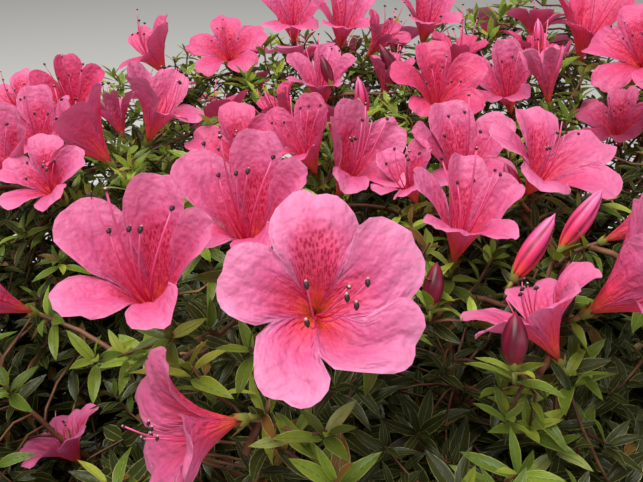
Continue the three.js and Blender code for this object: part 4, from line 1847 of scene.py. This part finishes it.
@dataclass
class BudWork:
    """The flower buds: rolled petals that taper to a point."""

    plan: CrownPlan
    finish: BudFlesh
    shapes: int = 4
    sides: int = 25
    rings: int = 18
    young_from: float = 0.6
    sunk: float = 2
    seed: int = 19

    def bud(self, number: int, young: bool) -> MeshParts:
        """Makes a bud one millimetre wide at most and one long, pointing along +Y, in its own units.

        Args:
            number: which of the shapes.
            young: whether it takes the darker colours.

        Returns:
            The bud.
        """
        random = SeededRandom(self.seed + 13 * number)
        swell, twist = random.between(0.4, 0.52), random.between(1.4, 2.4)
        along = np.linspace(0, 1, self.rings)[:, None]
        turn = (2 * math.pi * np.arange(self.sides) / self.sides)[None, :]
        body = np.sin(math.pi * np.clip(along, 0, 1) ** (math.log(0.5) / math.log(swell))) ** 0.9
        ridge = np.abs(np.sin(2.5 * turn + twist * along + number))
        folds = 1.06 - 0.24 * (1 - ridge) ** 2 * np.sin(math.pi * along**0.8)
        radius = 0.5 * (0.14 + 0.86 * body) * folds * (1 - smooth((along - 0.88) / 0.13) * 0.85)
        bend = random.between(-0.12, 0.12) * along**2
        points = stacked(radius * np.cos(turn) + bend, along, radius * np.sin(turn))
        uvs = stacked((0.5 if young else 0.0) + 0.01 + 0.48 * ridge, along)
        parts = MeshParts()
        parts.grid(points[:, ::-1], uvs[:, ::-1], close=True, caps=True)
        return parts

    def build(self) -> None:
        """Sets every bud of the plan out and lets the piece stand for the masses."""
        copies = [self.bud(number, young) for young in (False, True) for number in range(self.shapes)]
        random = SeededRandom(self.seed)
        parts = MeshParts()
        for shoot in (s for s in self.plan.shoots if s.growth is Growth.BUD):
            young = not shoot.ripe if shoot.placed else random.draw() > self.young_from
            bud = copies[random.pick(self.shapes) + (self.shapes if young else 0)]
            length = self.plan.bud_length * shoot.size + self.sunk
            side = shoot.axis.orthogonal().normalized()
            basis = np.array([side * shoot.width, shoot.axis * length, side.cross(shoot.axis) * shoot.width])
            foot = np.array(shoot.tip - shoot.axis * self.sunk)
            parts.add(bud.points[0] @ basis + foot, bud.uvs[0], bud.faces)
        piece = plain_object("buds", parts.mesh("buds"))
        piece.data.materials.append(self.finish.material())
        dress(piece, self.plan.foliage)


@dataclass(frozen=True)
class Leaf:
    """A leaf's root, its direction, its upward side, its length and its tint."""

    root: Vector
    way: Vector
    up: Vector
    size: float
    tint: LeafTint


@dataclass
class LeafWork:
    """The leaves: loose whorls at the end of every shoot, and single leaves along it."""

    plan: CrownPlan
    trees: GrowthTrees
    twigs: TwigWork
    finish: LeafBlade
    longest: float = 23
    breadth: float = 0.28
    shapes: int = 5
    lit_depth: float = 40
    lit_height: float = 300
    far_shade: float = 32
    near_bloom: float = 38
    bronze_from: float = 0.965
    pale_from: float = 0.93
    # How much longer the leaves deep inside are: dark leaves as painted shade that hide the floor through the
    # crown.
    shade_fill_stretch: float = 1.7
    second_whorl: float = 13
    along_spacing: float = 14
    cup_radius: float = 30
    face_share: float = 0.8
    front_room: float = 28
    round_room: float = 14
    least_height: float = 6
    front_height: float = 250
    back: float = 110
    blooms: kdtree.KDTree | None = None
    near_grid: tuple[int, int] = (4, 7)
    far_grid: tuple[int, int] = (2, 4)
    seed: int = 5
    # The whorls at each kind of end: how far beyond the tip, how many leaves, how far the innermost and the
    # outermost lean, and how deep in the crown they count as, which sets how much painted shade darkens their
    # tint.
    WHORLS: ClassVar[dict] = {
        Growth.BLOSSOM: ((-5, 7, (1.15, 1.75), 14),),
        Growth.BUD: ((-1, 8, (0.75, 1.5), 6),),
        Growth.LEAVES: ((4, 9, (0.35, 1.4), 4), (-9, 5, (1.0, 1.6), 20)),
    }

    def blade(self, number: int, tint: LeafTint, grid: tuple[int, int]) -> Mesh:
        """Makes a leaf one unit long along +Y with its root at the origin and its upper face towards +Z.

        Args:
            number: which of the shapes.
            tint: its colour.
            grid: spaces across and along.

        Returns:
            The mesh.
        """
        random = SeededRandom(self.seed + 17 * number)
        arch, fold = random.between(0.05, 0.3), random.between(0.15, 0.5)
        sway, twist = random.between(-0.06, 0.06), random.between(-0.25, 0.25)
        columns, rows = grid
        along = (np.linspace(0, 1, rows + 1) ** 1.05)[1:-1, None]
        across = np.linspace(-1, 1, columns + 1)[None, :]
        half = self.breadth / 2 * (1 + random.between(-0.15, 0.15)) * np.sin(math.pi * along**0.86) ** 0.85
        x = across * half + sway * np.sin(math.pi * along)
        z = -arch * along**2 + fold * np.abs(across) * half + twist * across * half * along
        z = z + 0.012 * np.sin(9 * along + 2 * np.sign(across)) * np.abs(across)
        points = np.concatenate([[[0, 0, 0]], stacked(x, along, z).reshape(-1, 3), [[0, 1, -arch]]])
        tints = len(LeafTint)
        u = (tint.value + 0.06 + 0.88 * (across + 1) / 2) / tints
        middle = (tint.value + 0.5) / tints
        uvs = stacked(u, 0.02 + 0.96 * along).reshape(-1, 2)
        uvs = np.concatenate([[[middle, 0.02]], uvs, [[middle, 0.98]]])
        stride, tip = columns + 1, len(points) - 1
        faces = [(0, 2 + j, 1 + j) for j in range(columns)]
        for i in range(rows - 2):
            for j in range(columns):
                a = 1 + i * stride + j
                faces.append((a, a + 1, a + stride + 1, a + stride))
        last = 1 + (rows - 2) * stride
        faces += [(last + j, last + j + 1, tip) for j in range(columns)]
        parts = MeshParts()
        parts.add(points, uvs, faces)
        return parts.mesh("blade", scale=1.0)

    def whorl(
        self,
        random: SeededRandom,
        tip: Vector,
        axis: Vector,
        count: int,
        lean: tuple[float, float],
        depth: float,
        length: float,
    ) -> list[Leaf]:
        """Sets leaves round the end of a shoot, the outer ones longer, flatter and older.

        Args:
            random: the row of numbers.
            tip: the end of the shoot.
            axis: where it points.
            count: how many leaves.
            lean: how far the innermost and the outermost lean from the axis, in radians.
            depth: how deep the shoot ends below the crown's surface, which darkens the leaves' tint as
                painted shade.
            length: of the longest leaf.

        Returns:
            The leaves.
        """
        side = axis.orthogonal().normalized()
        other = axis.cross(side)
        first = random.between(0, 2 * math.pi)
        leaves = []
        for i in range(count):
            age = (i + 0.5) / count
            turn = first + i * GOLDEN_ANGLE + random.between(-0.25, 0.25)
            angle = lean[0] + (lean[1] - lean[0]) * age + random.between(-0.18, 0.18)
            out = side * math.cos(turn) + other * math.sin(turn)
            way = (axis * math.cos(angle) + out * math.sin(angle)).normalized()
            up = (axis * 0.8 + UP * 0.5 + heading(random.between(0, 6.283), 0) * 0.35).normalized()
            root = tip - axis * (0.5 + 6 * age)
            size = length * (0.58 + 0.42 * age) * random.between(0.85, 1.08)
            leaves.append(Leaf(root, way, up, size, self.tint(random, age, depth + self.shaded(tip))))
        return leaves

    def shaded(self, place: Vector) -> float:
        """Gives how much deeper in shade a place is for lying low or far from blossoms, in millimetres."""
        low = max(0.0, (self.lit_height - place.z) * 0.35)
        _, _, away = self.blooms.find(place)
        return low + min(self.far_shade, max(0.0, (away - self.near_bloom) * 0.6))

    def tint(self, random: SeededRandom, age: float, depth: float) -> LeafTint:
        """Draws a leaf's colour: bright where it is young and near the surface, dark deep inside; the
        darkness is partly age and partly painted shade.

        Args:
            random: the row of numbers.
            age: from 0, the innermost of its whorl, to 1.
            depth: how deep below the crown's surface, in millimetres, with the painted shade of lying low or
                far from blossoms added.

        Returns:
            The tint.
        """
        draw = random.draw()
        if draw > self.bronze_from:
            return LeafTint.BRONZE
        if draw > self.pale_from and depth < self.lit_depth:
            return LeafTint.PALE
        # Painted shade: a deeper, lower place, farther from blossoms, gives a darker tint.
        shade = 0.4 * age + depth / 55 + 0.75 * (random.draw() - 0.4)
        if shade < 0.25:
            return LeafTint.YOUNG
        if shade < 0.55:
            return LeafTint.FRESH
        return LeafTint.FULL if shade < 0.95 else LeafTint.OLD

    def all_leaves(self) -> list[Leaf]:
        """Sets leaves on every shoot and along the twigs.

        Returns:
            The leaves.
        """
        random = SeededRandom(self.seed)
        leaves = []
        self.blooms = point_tree([shoot.tip for shoot in self.twigs.blossoms])
        for shoot in (*self.twigs.blossoms, *(s for s in self.plan.shoots if s.growth is not Growth.BLOSSOM)):
            for beyond, count, lean, depth in self.WHORLS[shoot.growth]:
                end = shoot.tip + shoot.axis * beyond
                leaves += self.whorl(random, end, shoot.axis, count, lean, depth, self.longest)
        for shoot in (s for s in self.twigs.fine if s.leafy):
            count = 6 + int(3 * random.draw())
            length = self.longest * random.between(0.72, 1.0)
            length *= self.shade_fill_stretch if shoot.depth > self.twigs.deepest else 1
            end = shoot.curve.place(1)
            leaves += self.whorl(random, end, shoot.axis, count, (0.4, 1.5), shoot.depth, length)
            if shoot.curve.length > 24:
                low = shoot.curve.place(1 - self.second_whorl / shoot.curve.length)
                leaves += self.whorl(random, low, shoot.axis, 4, (0.9, 1.6), shoot.depth + 12, length)
        for curve in (twig.curve for mass in self.plan.masses for twig in mass.twigs):
            for share in np.arange(0.3, 0.92, self.along_spacing / max(40, curve.length)):
                place = curve.place(share)
                axis = (curve.place(min(1, share + 0.05)) - place).normalized()
                leaves += self.whorl(random, place, axis, 2, (0.8, 1.4), 70, self.longest * 0.85)
        return leaves

    def clear_of_blossoms(self, leaves: list[Leaf]) -> np.ndarray:
        """Says for each leaf whether it keeps out of every blossom and off its face.

        Args:
            leaves: all leaves.

        Returns:
            One truth value a leaf.
        """
        roots = np.array([leaf.root for leaf in leaves])
        ways = np.array([leaf.way * leaf.size for leaf in leaves])
        clear = roots[:, 2] + ways[:, 2] > self.least_height
        for shoot in self.twigs.blossoms:
            axis, tip = np.array(shoot.axis), np.array(shoot.tip)
            depth, radius = self.plan.blossom_depth * shoot.size, self.cup_radius * shoot.size
            beyond = depth + (self.front_room if shoot.placed else self.round_room)
            for share in (0.35, 0.65, 0.85, 1.0):
                away = roots + ways * share - tip
                along = away @ axis
                across = np.linalg.norm(away - along[:, None] * axis, axis=1)
                cup = (along > 5) & (along <= depth) & (across < radius * along / depth + 1)
                face = (along > depth) & (along < beyond) & (across < radius * self.face_share)
                clear &= ~(cup | face)
            if shoot.placed:
                sight = np.array((EYE - shoot.face).normalized())
                away = roots + ways * 0.6 - np.array(shoot.face)
                before = away @ sight
                across = np.linalg.norm(away - before[:, None] * sight, axis=1)
                hidden = across < self.twigs.hidden_radius * shoot.size
                clear &= ~((before > 5) & (before < self.twigs.open_sight) & hidden)
        return clear

    def build(self) -> None:
        """Makes the pieces of all leaves and lets them stand for the masses."""
        leaves = self.all_leaves()
        kinds = [(number, tint) for number in range(self.shapes) for tint in LeafTint]
        pieces = {}
        for name in ("leaves_front", "leaves_left", "leaves_right", "leaves_back"):
            grid = self.near_grid if name == "leaves_front" else self.far_grid
            pieces[name] = Scatter([self.blade(*kind, grid) for kind in kinds])
        random = SeededRandom(self.seed + 1)
        for leaf, kept in zip(leaves, self.clear_of_blossoms(leaves)):
            number, root = random.pick(self.shapes), leaf.root
            if not kept:
                continue
            name = "leaves_left" if root.x < 0 else "leaves_right"
            if root.y > self.back:
                name = "leaves_back"
            elif self.plan.in_bed(root) and root.y < 0 and root.z > self.front_height:
                name = "leaves_front"
            pieces[name].add(root, leaf.way, leaf.up, leaf.size, kinds.index((number, leaf.tint)))
        finish = self.finish.material()
        for name, scatter in pieces.items():
            log.info("%s: %d leaves", name, len(scatter.rows))
            dress(scatter.build(name, self.trees.scatter, finish), self.plan.foliage)


@dataclass
class Studio:
    """A pale floor, soft light from above and the photograph's camera."""

    floor_half: float = 3.0
    floor_gap: float = 0.0005
    lens: float = 43.45
    sensor: float = 36.0
    pitch: float = math.radians(62)
    sky: str = "#E6EBF0"
    sky_strength: float = 0.34

    def build(self) -> None:
        """Makes the floor, the lights, the sky and the camera."""
        scene = bpy.context.scene
        scene.view_settings.view_transform = "Standard"
        self.floor()
        self.light("sky_panel", (-0.5, -0.4, 2.3), (0.0, 0.0, 0.2), 1.8, 84.0)
        self.light("side_panel", (1.8, -1.6, 1.4), (0.0, 0.0, 0.25), 1.4, 16.0)
        world = bpy.data.worlds.new("soft_sky")
        world.use_nodes = True
        background = world.node_tree.nodes["Background"]
        background.inputs["Color"].default_value = linear(self.sky)
        background.inputs["Strength"].default_value = self.sky_strength
        scene.world = world
        camera = bpy.data.cameras.new("camera")
        camera.lens, camera.sensor_width, camera.sensor_fit = self.lens, self.sensor, "HORIZONTAL"
        camera.clip_start = 0.01
        holder = bpy.data.objects.new("camera", camera)
        holder.location, holder.rotation_euler = EYE * MM, (self.pitch, 0.0, 0.0)
        scene.collection.objects.link(holder)
        scene.camera = holder

    def floor(self) -> None:
        """Makes the plain pale floor."""
        half = self.floor_half
        mesh = bpy.data.meshes.new("floor")
        corners = ((-half, -half), (half, -half), (half, half), (-half, half))
        mesh.from_pydata([(x, y, -self.floor_gap) for x, y in corners], [], [(0, 1, 2, 3)])
        floor = plain_object("floor", mesh)
        mesh.materials.append(Finish("pale_matte_floor", "#C9C6C0", 0.9).material())

    def light(self, name: str, place: tuple, target: tuple, size: float, power: float) -> None:
        """Hangs a soft square light.

        Args:
            name: the light's name.
            place: where it hangs, in metres.
            target: what it points at, in metres.
            size: how wide it is, in metres.
            power: in watts.
        """
        lamp = bpy.data.lights.new(name, "AREA")
        lamp.shape, lamp.size, lamp.energy = "SQUARE", size, power
        holder = bpy.data.objects.new(name, lamp)
        holder.location = place
        holder.rotation_euler = (Vector(target) - Vector(place)).to_track_quat("-Z", "Y").to_euler()
        bpy.context.scene.collection.objects.link(holder)


def main() -> None:
    """Builds the shrub piece by piece, then the studio round it."""
    logging.basicConfig(level=logging.INFO, format="%(name)s %(message)s")
    Studio().build()
    plan = CrownPlan()
    log.info("%d masses, %d shoots", len(plan.masses), len(plan.shoots))
    trees = GrowthTrees()
    Wood(plan, WeatheredBark("weathered_bark", "#6A5C50", 0.85)).build()
    twigs = TwigWork(plan, trees, YoungBark("young_bark", "#6B4630", 0.6))
    twigs.grow_fine()
    log.info("%d fine shoots", len(twigs.fine))
    twigs.build()
    LeafWork(plan, trees, twigs, LeafBlade("waxy_leaf", "#8A9238", 0.27, 1.45)).build()
    BlossomWork(
        plan,
        trees,
        twigs.blossoms,
        PetalFlesh("rose_petal_flesh", "#F0709F", 0.5, 1.38),
        Filament("stamen_thread", "#E8507A", 0.4, 1.38),
        PollenCase("dry_anther", "#3A101C", 0.6),
        SepalSkin("downy_sepal", "#8C9440", 0.6),
    ).build()
    BudWork(plan, BudFlesh("rolled_bud_petals", "#C8304E", 0.4, 1.4)).build()


if __name__ == "__main__":
    main()
